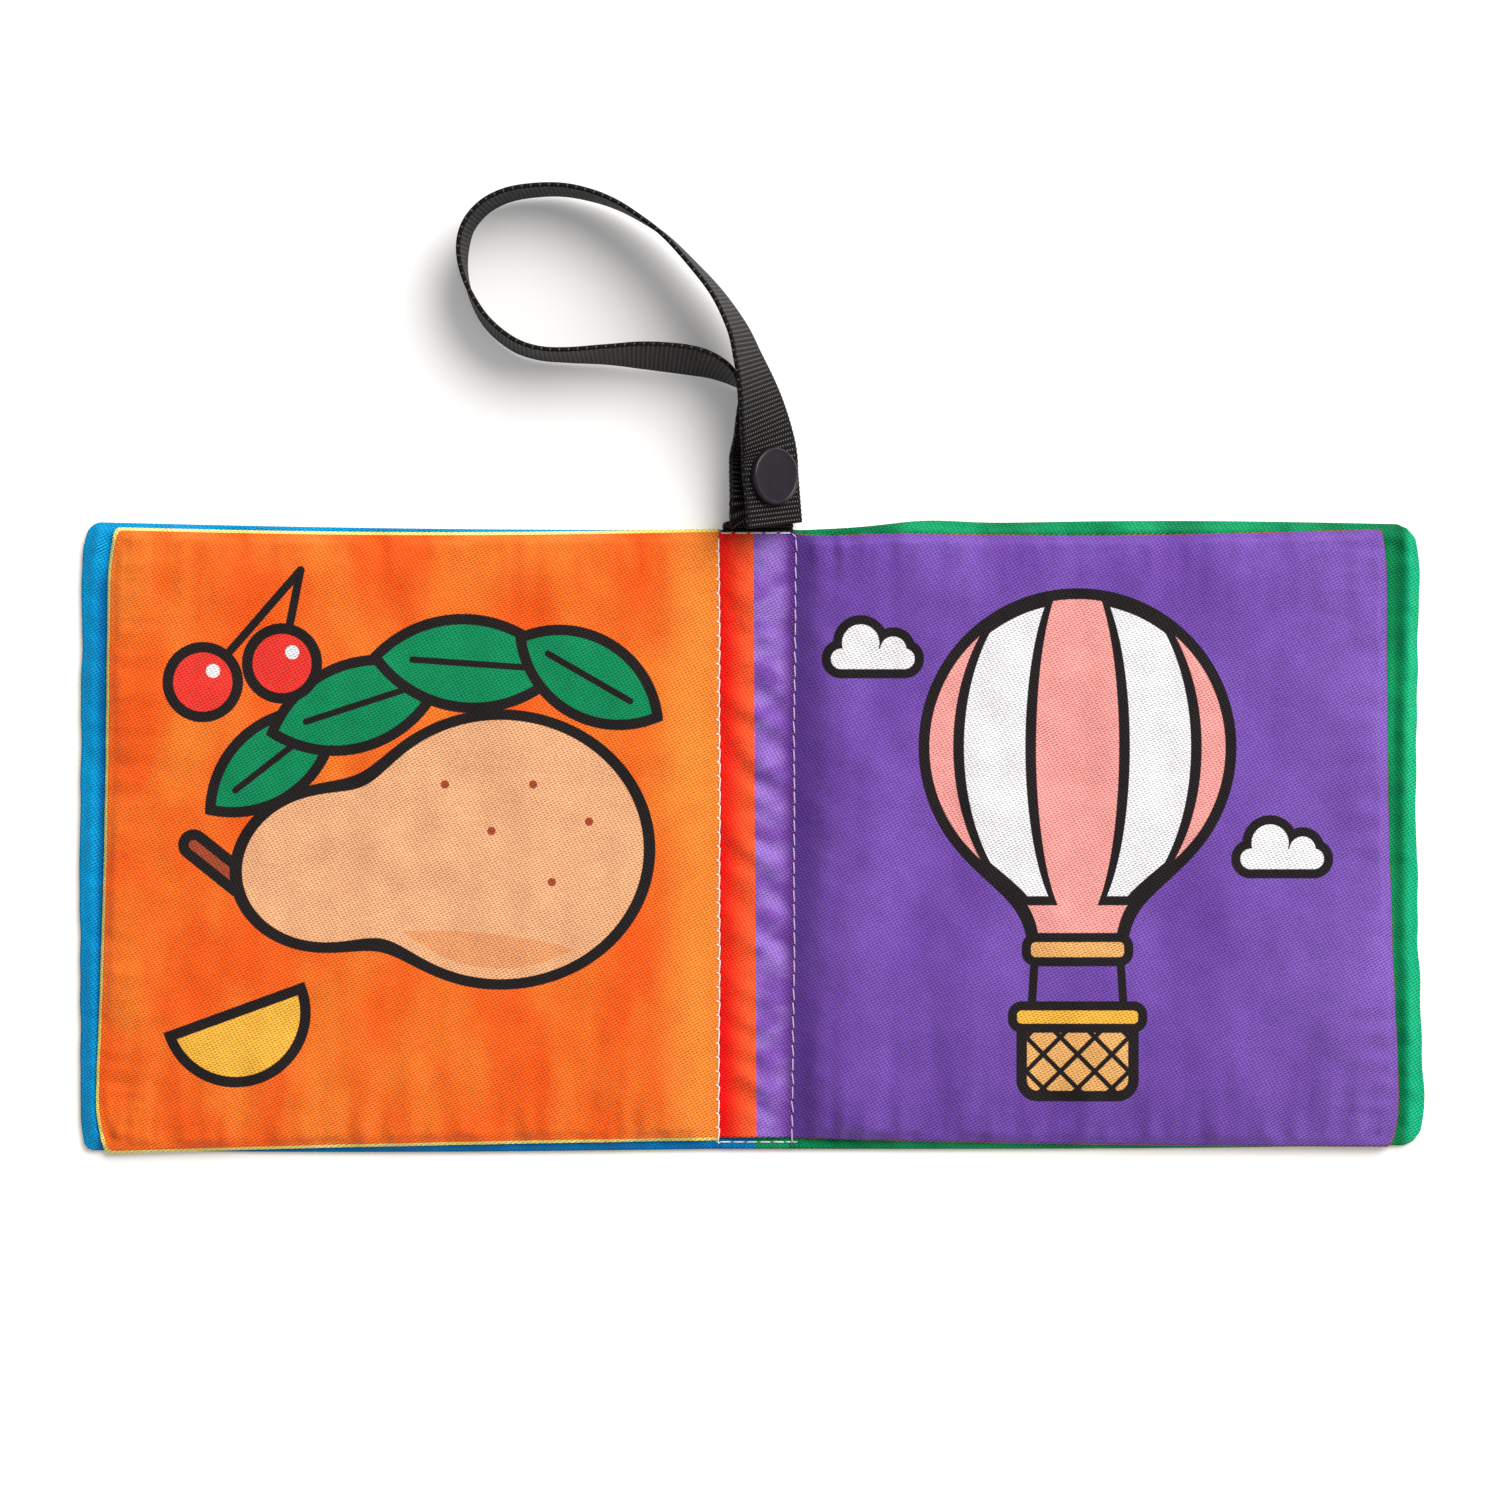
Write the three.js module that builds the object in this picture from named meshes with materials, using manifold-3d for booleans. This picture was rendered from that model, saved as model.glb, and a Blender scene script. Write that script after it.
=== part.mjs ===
// A cloth crinkle book for a baby, lying open at its middle, in millimetres with +Z up.
// Two double leaves of cloth are sewn together along a spine band, and a webbing strap
// with a plastic snap is caught in the top of the band. +X runs across the open pages and
// +Y towards the strap. The origin is the middle of the spine band's underside.
import * as THREE from 'three';
import { mergeVertices } from 'three/addons/utils/BufferGeometryUtils.js';
import Module from 'manifold-3d';

const wasm = await Module();
wasm.setup();

// Cloth and film
const clothThickness = 0.35;
const filmThickness = 0.1;
const clothGap = 0.3;

// Strap webbing
const strapWidth = 15;
const strapThickness = 0.9;
const tailLength = 18;
const tailRamp = 4;

// Spine band, between its two rows of stitching. The strap lies between the rows.
const strapSideSlack = 0.7;
const foldSlack = 0.6;
const bookHeight = 133.3;
const coverShift = 0.15;
const pageInsetTop = 0.4;
const pageInsetBottom = 2.5;

// Leaves, each measured out from its row of stitching
const leftPageReach = 132.3;
const rightPageReach = 129;
const frontCoverReach = 137.1;
const backCoverReach = 135.6;

// The crown that the film and air give a leaf, and the soft waves of the cloth
const crownHeight = 0.6;
const crownReach = 16;
const waveHeight = 0.25;
const waveLength = 58;
const waveSlantShare = 0.35;
const filmInset = 8;
const backMargin = 0.4;

// Sewing thread
const threadDiameter = 0.48;
const stitchLength = 3;
const topStitchInset = 0.3;
const bottomStitchInset = 1.5;

// Where the strap's loop and snap lie, from the top of the spine band
const loopReach = 74;
const snapDistance = 11.7;
const snapHeight = 5.5;
const snapShift = 0.1;
const snapFlat = 5.6;
const freeEndReach = 9.7;
const tailShift = 0.3;

// Plastic snap
const snapCapDiameter = 12.4;
const snapCapHeight = 1.9;
const snapRimHeight = 0.6;
const snapPostDiameter = 2.2;
const snapPostHeadDiameter = 3.4;
const snapPostHeadHeight = 0.3;
const snapRingDiameter = 10.6;
const snapSocketHeight = 2.1;
const snapWebHeight = 0.5;
const snapStudBaseHeight = 0.8;
const snapStudDiameter = 4.5;
const snapStudWall = 0.4;
const snapClearance = 0.25;

const clothPitch = clothThickness + clothGap;
const coverTopZ = clothPitch + clothThickness;
const bandTopZ = 3 * clothPitch + clothThickness;
const tailLift = strapThickness - clothGap;
const spineWidth = strapWidth + 2 * strapSideSlack;
const foldX = spineWidth / 2;
const coverSpineTop = bookHeight / 2 + coverShift;
const coverSpineBottom = bookHeight / 2 - coverShift;
const innerSpineTop = coverSpineTop - pageInsetTop;
const innerSpineBottom = coverSpineBottom - pageInsetBottom;
const bottomStitchY = coverSpineBottom - bottomStitchInset;
const threadRadius = threadDiameter / 2;

// What each leaf's outline does away from a plain rectangle. The sags and bows are how far
// an edge bends in its middle, the rises and drops how far it has moved at the fore-edge, and
// the tucks how far the fore-edge draws in at its two ends, over a share of its length.
const leftPage = {
  side: -1, reach: leftPageReach, top: innerSpineTop, bottom: innerSpineBottom,
  topRise: 0.3, topSag: 0.9, bottomDrop: 2.9, bottomSag: 0.3,
  foreSlant: 1.5, foreBow: -0.7, topTuck: 2, bottomTuck: 2.5, tuckShare: 0.1, corner: 2,
};
const rightPage = {
  side: 1, reach: rightPageReach, top: innerSpineTop, bottom: innerSpineBottom,
  topRise: 0.4, topSag: 1.1, bottomDrop: 1.9, bottomSag: -0.4,
  foreSlant: 1.6, foreBow: -1.1, topTuck: 1.1, bottomTuck: 2.5, tuckShare: 0.1, corner: 2,
};
const frontCover = {
  side: -1, reach: frontCoverReach, top: coverSpineTop, bottom: coverSpineBottom,
  topRise: 1.7, topSag: 0.5, bottomDrop: 0.3, bottomSag: -0.5,
  foreSlant: 0.2, foreBow: 0.3, topTuck: 2.2, bottomTuck: 1.1, tuckShare: 0.06, corner: 1.5,
};
const backCover = {
  side: 1, reach: backCoverReach, top: coverSpineTop, bottom: coverSpineBottom,
  topRise: 1.2, topSag: -1.3, bottomDrop: -0.8, bottomSag: -0.3,
  foreSlant: 0.6, foreBow: -1.7, topTuck: 2.2, bottomTuck: 2.1, tuckShare: 0.1, corner: 3,
};

// The lines of a leaf's grid, crowded towards its edges
const leafPanels = 12;
const crowding = 0.75;
const crowd = (share) => share - crowding * Math.sin(2 * Math.PI * share) / (2 * Math.PI);
const grid = evenShares(leafPanels).map(crowd);

function evenShares(count) {
  return Array.from({ length: count + 1 }, (unused, index) => index / count);
}

function material(color, roughness, metalness = 0) {
  return new THREE.MeshStandardMaterial({ color, roughness, metalness });
}

const bookCloths = {
  orange: () => material(0xf6691d, 0.55),
  yellow: () => material(0xf5e07a, 0.55),
  purple: () => material(0x714aa6, 0.55),
  brown: () => material(0x8a4634, 0.55),
  blue: () => material(0x047ab6, 0.55),
  green: () => material(0x0d8b5a, 0.55),
  cover: () => material(0xf3d9a4, 0.55),
};
const crinkleFilm = () => material(0xe8ecef, 0.25);
const sewingThread = () => material(0xf4f1ec, 0.7);
const blackWebbing = () => material(0x2b2624, 0.8);
const blackPlastic = () => material(0x232025, 0.35);

function namedMesh(name, geometry, finish) {
  const mesh = new THREE.Mesh(geometry, finish);
  mesh.name = name;
  return mesh;
}

function geometryFrom(positions, triangles) {
  const geometry = new THREE.BufferGeometry();
  geometry.setAttribute('position', new THREE.Float32BufferAttribute(positions, 3));
  geometry.setIndex(triangles);
  return geometry;
}

// Outline of a leaf. Shares run from 0 at the row of stitching or the lower edge to 1.
function topEdgeY(leaf, acrossShare) {
  return leaf.top + leaf.topRise * acrossShare - leaf.topSag * Math.sin(Math.PI * acrossShare);
}

function bottomEdgeY(leaf, acrossShare) {
  return -leaf.bottom - leaf.bottomDrop * acrossShare + leaf.bottomSag * Math.sin(Math.PI * acrossShare);
}

function foreEdgeReach(leaf, upShare) {
  const near = (share) => Math.max(0, 1 - share / leaf.tuckShare) ** 2;
  return leaf.reach + leaf.foreSlant * (1 - 2 * upShare) + leaf.foreBow * Math.sin(Math.PI * upShare)
    - leaf.topTuck * near(1 - upShare) - leaf.bottomTuck * near(upShare);
}

// A point of a leaf, with its two outer corners rounded off by drawing them in. A negative
// inset makes the panel larger, except at the stitching.
function leafPoint(leaf, acrossShare, upShare, inset = 0) {
  const reach = foreEdgeReach(leaf, upShare);
  const low = bottomEdgeY(leaf, acrossShare) + inset;
  const high = topEdgeY(leaf, acrossShare) - inset;
  const start = foldSlack + Math.max(0, inset);
  let across = THREE.MathUtils.lerp(start, reach - inset, acrossShare);
  let y = THREE.MathUtils.lerp(low, high, upShare);
  const toFore = reach - inset - across;
  const toEnd = Math.min(y - low, high - y);
  const nearFore = Math.max(0, 1 - toFore / leaf.corner);
  const nearEnd = Math.max(0, 1 - toEnd / leaf.corner);
  const drawIn = leaf.corner * (1 - Math.SQRT1_2) * nearFore * nearEnd;
  across -= drawIn;
  y -= Math.sign(y) * drawIn;
  return [leaf.side * (foldX + across), y];
}

function edgeRise(distance) {
  const share = THREE.MathUtils.clamp(distance / crownReach, 0, 1);
  return share * (2 - share);
}

// How high the filling of a leaf lifts its upper cloth at a place.
function leafRise(leaf, x, y) {
  const across = leaf.side * x - foldX;
  const upShare = THREE.MathUtils.clamp((y + leaf.bottom) / (leaf.top + leaf.bottom), 0, 1);
  const acrossShare = THREE.MathUtils.clamp(across / leaf.reach, 0, 1);
  const edges = edgeRise(across - foldSlack)
    * edgeRise(foreEdgeReach(leaf, upShare) - across)
    * edgeRise(topEdgeY(leaf, acrossShare) - y)
    * edgeRise(y - bottomEdgeY(leaf, acrossShare));
  const wave = Math.sin(2 * Math.PI * (y + waveSlantShare * across) / waveLength)
    * Math.cos(Math.PI * (across - waveSlantShare * y) / waveLength);
  return edges * (crownHeight + waveHeight * (1 + wave) / 2);
}

// A closed sheet over a grid of places, between two heights at each.
function sheet(columns, rows, place, lowZ, highZ) {
  const positions = [];
  const triangles = [];
  const wide = rows.length;
  const layer = columns.length * wide;
  for (const level of [lowZ, highZ]) {
    for (const column of columns) {
      for (const row of rows) {
        const [x, y] = place(column, row);
        positions.push(x, y, level(x, y));
      }
    }
  }
  const [firstX] = place(columns[0], rows[0]);
  const [lastX] = place(columns[columns.length - 1], rows[0]);
  const mirrored = lastX < firstX;
  const quad = (a, b, c, d) => {
    if (mirrored) triangles.push(a, c, b, a, d, c);
    else triangles.push(a, b, c, a, c, d);
  };
  for (let i = 0; i < columns.length - 1; i += 1) {
    for (let j = 0; j < wide - 1; j += 1) {
      const a = i * wide + j;
      quad(a, a + 1, a + wide + 1, a + wide);
      quad(layer + a, layer + a + wide, layer + a + wide + 1, layer + a + 1);
    }
    const first = i * wide;
    const last = first + wide - 1;
    quad(first, first + wide, layer + first + wide, layer + first);
    quad(last, layer + last, layer + last + wide, last + wide);
  }
  const end = (columns.length - 1) * wide;
  for (let j = 0; j < wide - 1; j += 1) {
    quad(j, layer + j, layer + j + 1, j + 1);
    quad(end + j, end + j + 1, layer + end + j + 1, layer + end + j);
  }
  return geometryFrom(positions, triangles);
}

function leafSheet(leaf, lowZ, thickness, inset = 0) {
  return sheet(grid, grid, (across, up) => leafPoint(leaf, across, up, inset), lowZ,
    (x, y) => lowZ(x, y) + thickness);
}

// Heights of the undersides of the four cloths of a side, from the table up
function leafHeights(page, cover) {
  const coverInner = (x, y) => clothPitch + leafRise(cover, x, y);
  const pageBack = (x, y) => 2 * clothPitch + leafRise(cover, x, y);
  const pageFace = (x, y) => 3 * clothPitch + leafRise(cover, x, y) + leafRise(page, x, y);
  return { coverOuter: () => 0, coverInner, pageBack, pageFace };
}

function sideOfBook(page, cover, names, colors) {
  const heights = leafHeights(page, cover);
  const pageFilm = (x, y) => heights.pageBack(x, y) + clothPitch;
  const coverFilm = () => clothPitch;
  const cloth = (leaf, lowZ, inset) => leafSheet(leaf, lowZ, clothThickness, inset);
  const film = (leaf, lowZ) => leafSheet(leaf, lowZ, filmThickness, filmInset);
  return [
    namedMesh(`${names.cover}_outer`, cloth(cover, heights.coverOuter), colors.coverOuter),
    namedMesh(`${names.cover}_film`, film(cover, coverFilm), crinkleFilm()),
    namedMesh(`${names.cover}_inner`, cloth(cover, heights.coverInner), colors.coverInner),
    namedMesh(`${names.page}_back`, cloth(page, heights.pageBack, -backMargin), colors.pageBack),
    namedMesh(`${names.page}_film`, film(page, pageFilm), crinkleFilm()),
    namedMesh(`${names.page}_face`, cloth(page, heights.pageFace), colors.pageFace),
  ];
}

// The cloth of the spine band. The two page cloths rise over the tail of the strap.
function spineBand() {
  const halfBand = foldX - foldSlack;
  const tailEndY = innerSpineTop - tailLength;
  const rampStart = tailEndY - tailRamp - clothGap;
  const rampSteps = 5;
  const rampRows = evenShares(rampSteps).map((share) => rampStart + share * tailRamp);
  const lift = (y) => {
    const share = THREE.MathUtils.clamp((y - rampStart) / tailRamp, 0, 1);
    return tailLift * share * share * (3 - 2 * share);
  };
  const band = (bottomY, topY, index, lifted) => {
    const rows = [bottomY, 0, ...rampRows, topY];
    const lowZ = (x, y) => index * clothPitch + (lifted ? lift(y) : 0);
    const highZ = (x, y) => lowZ(x, y) + clothThickness;
    return sheet([-halfBand, 0, halfBand], rows, (x, y) => [x, y], lowZ, highZ);
  };
  // The outer cloth stops short of the cross runs of the bobbin thread.
  const outerBottomY = -bottomStitchY + threadDiameter;
  const outerTopY = innerSpineTop - topStitchInset - threadDiameter;
  return [
    namedMesh('spine_cover_outer', band(outerBottomY, outerTopY, 0, false), bookCloths.cover()),
    namedMesh('spine_cover_inner', band(-coverSpineBottom, coverSpineTop, 1, false), bookCloths.blue()),
    namedMesh('spine_page_back', band(-innerSpineBottom, innerSpineTop, 2, true), bookCloths.yellow()),
    namedMesh('spine_page_face', band(-innerSpineBottom, innerSpineTop, 3, true), bookCloths.orange()),
  ];
}

// One thread of the spine seam: a closed run of stitches down one fold, across the bottom,
// up the other fold and across the top. It dips once in every stitch.
function threadRun(rowZ, topRunZ, bottomRunZ, dip) {
  const topY = innerSpineTop - topStitchInset;
  const corners = [
    new THREE.Vector3(-foldX, topY, topRunZ), new THREE.Vector3(-foldX, -bottomStitchY, bottomRunZ),
    new THREE.Vector3(foldX, -bottomStitchY, bottomRunZ), new THREE.Vector3(foldX, topY, topRunZ),
  ];
  const path = [];
  corners.forEach((corner, index) => {
    const next = corners[(index + 1) % corners.length];
    const isRow = index % 2 === 0;
    const steps = 2 * Math.round(corner.distanceTo(next) / stitchLength);
    for (let step = 0; step < steps; step += 1) {
      const point = corner.clone().lerp(next, step / steps);
      if (isRow && step > 0) point.z = step % 2 === 0 ? rowZ + dip : rowZ;
      path.push(point);
    }
  });
  return path;
}

// A thin closed thread of diamond section, which keeps one flat turned to the cloth.
function threadLoop(path) {
  const positions = [];
  const triangles = [];
  const sectionAngles = evenShares(4).slice(0, -1).map((share) => 2 * Math.PI * share);
  const sides = sectionAngles.length;
  path.forEach((point, index) => {
    const ahead = path[(index + 1) % path.length];
    const behind = path[(index + path.length - 1) % path.length];
    const along = ahead.clone().sub(behind).normalize();
    const across = new THREE.Vector3(along.y, -along.x, 0).normalize();
    const up = new THREE.Vector3().crossVectors(across, along);
    for (const angle of sectionAngles) {
      const offset = across.clone().multiplyScalar(threadRadius * Math.cos(angle))
        .addScaledVector(up, threadRadius * Math.sin(angle));
      positions.push(...point.clone().add(offset).toArray());
    }
    const here = index * sides;
    const there = ((index + 1) % path.length) * sides;
    for (let side = 0; side < sides; side += 1) {
      const next = (side + 1) % sides;
      triangles.push(here + side, there + next, here + next, here + side, there + side, there + next);
    }
  });
  return geometryFrom(positions, triangles);
}

function spineThreads() {
  const dip = threadDiameter + clothGap / 2;
  const topRunZ = bandTopZ + tailLift + clothGap + threadRadius;
  const needle = threadRun(bandTopZ, topRunZ, coverTopZ + clothGap + threadRadius, -dip);
  const lowZ = threadRadius + (clothGap - threadRadius) / 2;
  const bobbin = threadRun(lowZ, lowZ, lowZ, dip);
  return [
    namedMesh('needle_thread', threadLoop(needle), sewingThread()),
    namedMesh('bobbin_thread', threadLoop(bobbin), sewingThread()),
  ];
}

// The snap holds the free end of the strap over the strap's base, tilted to the right.
const snapTilt = THREE.MathUtils.degToRad(40);
const snapTwist = THREE.MathUtils.degToRad(-6);
const snapCentre = new THREE.Vector3(snapShift, innerSpineTop + snapDistance, snapHeight);
const snapDirection = new THREE.Vector3(-0.08, 1, 0.08).normalize();
const strapLayersApart = strapThickness + 3 * snapClearance + snapSocketHeight + snapStudBaseHeight;

// Frame of a flat strap at a place: its width direction is tilted up from the horizontal,
// towards the left of the way it runs.
function strapFrame(along, tilt) {
  const left = new THREE.Vector3(-along.y, along.x, 0).normalize();
  const up = new THREE.Vector3().crossVectors(along, left);
  const across = left.clone().multiplyScalar(Math.cos(tilt)).addScaledVector(up, Math.sin(tilt));
  const face = new THREE.Vector3().crossVectors(along, across);
  return { along, across, face, left, up };
}

const snapFrame = strapFrame(snapDirection, snapTilt);

// The base lies turned a little on the stud, in the same plane as the free end.
const baseDirection = snapDirection.clone().applyAxisAngle(snapFrame.face, snapTwist);
const { left: baseLeft, up: baseUp } = strapFrame(baseDirection, 0);
const baseTilt = Math.atan2(-snapFrame.face.dot(baseLeft), snapFrame.face.dot(baseUp));

// The strap's route between its two snap places, chosen by hand: x, the distance from the
// top of the spine band and z as shares of the loop's reach, and then the tilt in degrees.
// It twists until it stands on its edge, goes round to the left and comes back.
const loopStopShares = [
  [-0.0068, 0.3189, 0.1027, 55],
  [-0.0297, 0.3865, 0.1095, 76],
  [-0.0703, 0.4419, 0.1108, 97],
  [-0.127, 0.477, 0.1135, 106],
  [-0.2027, 0.4959, 0.1162, 110],
  [-0.3216, 0.5081, 0.1189, 108],
  [-0.4324, 0.5108, 0.1189, 101.5],
  [-0.55, 0.5095, 0.1162, 97],
  [-0.6351, 0.5162, 0.1135, 96],
  [-0.7081, 0.5432, 0.1108, 96],
  [-0.7784, 0.6014, 0.1081, 95],
  [-0.8243, 0.6757, 0.1068, 92],
  [-0.8486, 0.7514, 0.1068, 88],
  [-0.852, 0.823, 0.1081, 84.5],
  [-0.8351, 0.8851, 0.1095, 84],
  [-0.7905, 0.9378, 0.1122, 84],
  [-0.727, 0.9716, 0.1162, 84.5],
  [-0.6486, 0.9865, 0.1203, 85],
  [-0.5608, 0.9878, 0.1257, 85.5],
  [-0.4784, 0.9716, 0.1324, 86.5],
  [-0.4054, 0.9446, 0.1392, 88.5],
  [-0.3351, 0.9041, 0.1473, 91],
  [-0.2635, 0.8514, 0.1554, 93],
  [-0.1838, 0.7689, 0.1635, 95.5],
  [-0.1108, 0.6811, 0.1689, 99],
  [-0.0541, 0.5824, 0.1716, 105.5],
  [-0.0243, 0.4973, 0.1716, 112.5],
  [0, 0.4162, 0.1662, 121],
  [0.0162, 0.3405, 0.1541, 130],
];

// The whole route outside the book. It leaves the spine flat and twists up to the stud, and
// its free end comes back to the stud above its own base.
function strapRoute() {
  const stop = (x, distance, z, tiltDegrees) => [x, innerSpineTop + distance, z, tiltDegrees];
  const beside = (centre, direction, distance, tilt) => {
    const point = centre.clone().addScaledVector(direction, distance);
    return [...point.toArray(), THREE.MathUtils.radToDeg(tilt)];
  };
  const onBase = (distance) => beside(snapCentre, baseDirection, distance, baseTilt);
  const endCentre = snapCentre.clone().addScaledVector(snapFrame.face, strapLayersApart);
  const onEnd = (distance) => beside(endCentre, snapDirection, distance, Math.PI - snapTilt);
  const edgeZ = coverTopZ + strapThickness / 2;
  // How far along its way to the stud the strap has come at two places, with its rise and twist
  const rising = ([wayShare, riseShare, twistShare]) => stop(tailShift, wayShare * snapDistance,
    THREE.MathUtils.lerp(edgeZ, snapHeight, riseShare), THREE.MathUtils.radToDeg(twistShare * baseTilt));
  const leavingShares = [0.15, 0.08, 0.2];
  const turningShares = [0.34, 0.53, 0.6];
  const loopStops = loopStopShares.map(([x, distance, z, tilt]) => (
    stop(x * loopReach, distance * loopReach, z * loopReach, tilt)));
  return [
    stop(tailShift, clothGap, edgeZ, 0), rising(leavingShares), rising(turningShares),
    onBase(-snapFlat), onBase(0), onBase(snapFlat),
    ...loopStops,
    onEnd(snapFlat), onEnd(0), onEnd(-snapFlat), onEnd(-freeEndReach),
  ];
}

const route = strapRoute();
const flapRoutePoint = route.length - 6;
const flapShare = flapRoutePoint / (route.length - 1);
const strapCurve = curveThrough(route.map(([x, y, z]) => new THREE.Vector3(x, y, z)));
const tiltCurve = curveThrough(route.map((stop) => new THREE.Vector3(stop[3], 0, 0)));

function curveThrough(points) {
  return new THREE.CatmullRomCurve3(points, false, 'catmullrom');
}

function strapPlace(share) {
  const along = strapCurve.getTangent(share);
  const tilt = THREE.MathUtils.degToRad(tiltCurve.getPoint(share).x);
  return { point: strapCurve.getPoint(share), ...strapFrame(along, tilt) };
}

// Webbing swept through places, with a flat section of the strap's width and thickness.
function webbing(places) {
  const positions = [];
  const triangles = [];
  const halfWidth = strapWidth / 2;
  const halfThickness = strapThickness / 2;
  const corners = [[-1, -1], [1, -1], [1, 1], [-1, 1]];
  places.forEach(({ point, across, face }) => {
    for (const [side, level] of corners) {
      const corner = point.clone().addScaledVector(across, side * halfWidth);
      corner.addScaledVector(face, level * halfThickness);
      positions.push(...corner.toArray());
    }
  });
  const sides = corners.length;
  for (let index = 0; index < places.length - 1; index += 1) {
    const here = index * sides;
    const there = here + sides;
    for (let side = 0; side < sides; side += 1) {
      const next = (side + 1) % sides;
      triangles.push(here + side, there + next, there + side, here + side, here + next, there + next);
    }
  }
  const last = (places.length - 1) * sides;
  triangles.push(0, 2, 1, 0, 3, 2, last, last + 1, last + 2, last, last + 2, last + 3);
  return geometryFrom(positions, triangles);
}

function toSolid(geometry) {
  const bare = geometry.clone();
  bare.deleteAttribute('normal');
  bare.deleteAttribute('uv');
  const merged = mergeVertices(bare, clothGap / 1000);
  const vertProperties = new Float32Array(merged.attributes.position.array);
  const triVerts = new Uint32Array(merged.index.array);
  return new wasm.Manifold(new wasm.Mesh({ numProp: 3, vertProperties, triVerts }));
}

function fromSolid(solid) {
  const { vertProperties, triVerts } = solid.getMesh();
  return geometryFrom(Array.from(vertProperties), Array.from(triVerts));
}

// Turns a shape made along +Y so that it stands on a strap at a point, along a direction.
function standOn(geometry, point, direction) {
  const turn = new THREE.Quaternion().setFromUnitVectors(new THREE.Vector3(0, 1, 0), direction);
  return geometry.applyQuaternion(turn).translate(point.x, point.y, point.z);
}

function punched(geometry, point, direction) {
  const holeRadius = snapPostDiameter / 2 + snapClearance;
  const punch = new THREE.CylinderGeometry(holeRadius, holeRadius, 3 * strapThickness, snapSegments / 2);
  standOn(punch, point, direction);
  return fromSolid(toSolid(geometry).subtract(toSolid(punch)));
}

const snapSegments = 24;

function turned(profile) {
  const points = profile.map(([radius, height]) => new THREE.Vector2(radius, height));
  return new THREE.LatheGeometry(points, snapSegments);
}

// A snap cap on the outer face of a strap. Its post goes through the strap, and the post's
// end is pressed into a head. Zero is the strap's middle, and the head is up.
function snapCap(headHeight) {
  const brim = -strapThickness / 2 - snapClearance;
  const rim = brim - snapRimHeight;
  const radius = snapCapDiameter / 2;
  const post = snapPostDiameter / 2;
  const head = snapPostHeadDiameter / 2;
  const domeShares = [1, 0.94, 0.82, 0.62, 0.34];
  const dome = domeShares.map((share) => {
    const drop = Math.sqrt(1 - share * share) * (snapCapHeight - snapRimHeight);
    return [radius * share, rim - drop];
  });
  const profile = [
    [0, brim - snapCapHeight], ...dome.reverse(), [radius, brim], [post, brim], [post, headHeight],
    [head, headHeight], [head, headHeight + snapPostHeadHeight], [0, headHeight + snapPostHeadHeight],
  ];
  return turned(profile);
}

// The ring on the inner face of the free end, with a recess for the stud.
function snapSocket() {
  const low = strapThickness / 2 + snapClearance;
  const high = low + snapSocketHeight;
  const outer = snapRingDiameter / 2;
  const bore = snapStudDiameter / 2 + snapClearance;
  const hole = snapPostDiameter / 2 + snapClearance;
  const lip = snapRimHeight / 2;
  const profile = [
    [hole, low], [outer, low], [outer, high - lip], [outer - lip, high], [bore, high],
    [bore, low + snapWebHeight], [hole, low + snapWebHeight], [hole, low],
  ];
  return turned(profile);
}

// The stud on the strap's base: a round base plate with a hollow boss.
function snapStud(bossHeight) {
  const low = strapThickness / 2 + snapClearance;
  const plate = low + snapStudBaseHeight;
  const outer = snapRingDiameter / 2;
  const boss = snapStudDiameter / 2;
  const recess = boss - snapStudWall;
  const hole = snapPostDiameter / 2 + snapClearance;
  const lip = snapRimHeight / 2;
  const profile = [
    [hole, low], [outer, low], [outer, plate - lip], [outer - lip, plate], [boss, plate],
    [boss, plate + bossHeight], [recess, plate + bossHeight], [recess, plate], [hole, plate], [hole, low],
  ];
  return turned(profile);
}

function strapAndSnap() {
  const tailTopY = innerSpineTop;
  const tailZ = coverTopZ + strapThickness / 2;
  const tail = new THREE.BoxGeometry(strapWidth, tailLength, strapThickness)
    .translate(tailShift, tailTopY - tailLength / 2, tailZ);

  const total = route.length - 1;
  const stepsPerSpan = 2;
  const cutShare = clothGap / 2 / strapCurve.getLength();
  const loopShares = evenShares(flapRoutePoint * stepsPerSpan).map((share) => share * (flapShare - cutShare));
  const flapSteps = (total - flapRoutePoint) * stepsPerSpan;
  const flapStart = flapShare + cutShare;
  const flapShares = evenShares(flapSteps).map((share) => flapStart + share * (1 - flapStart));

  const face = snapFrame.face;
  const endCentre = snapCentre.clone().addScaledVector(face, strapLayersApart);
  const back = face.clone().negate();
  const loop = punched(webbing(loopShares.map(strapPlace)), snapCentre, face);
  const flap = punched(webbing(flapShares.map(strapPlace)), endCentre, back);

  const seat = strapThickness / 2 + snapClearance;
  const socketHead = seat + snapWebHeight + snapClearance;
  const studHead = seat + snapStudBaseHeight + snapClearance / 2;
  const bossHeight = snapSocketHeight - snapWebHeight - snapPostHeadHeight - snapClearance;
  return [
    namedMesh('strap_tail', tail, blackWebbing()),
    namedMesh('strap_loop', loop, blackWebbing()),
    namedMesh('strap_end_flap', flap, blackWebbing()),
    namedMesh('snap_cap', standOn(snapCap(socketHead), endCentre, back), blackPlastic()),
    namedMesh('snap_socket', standOn(snapSocket(), endCentre, back), blackPlastic()),
    namedMesh('snap_stud', standOn(snapStud(bossHeight), snapCentre, face), blackPlastic()),
    namedMesh('snap_under_cap', standOn(snapCap(studHead), snapCentre, face), blackPlastic()),
  ];
}

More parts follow.
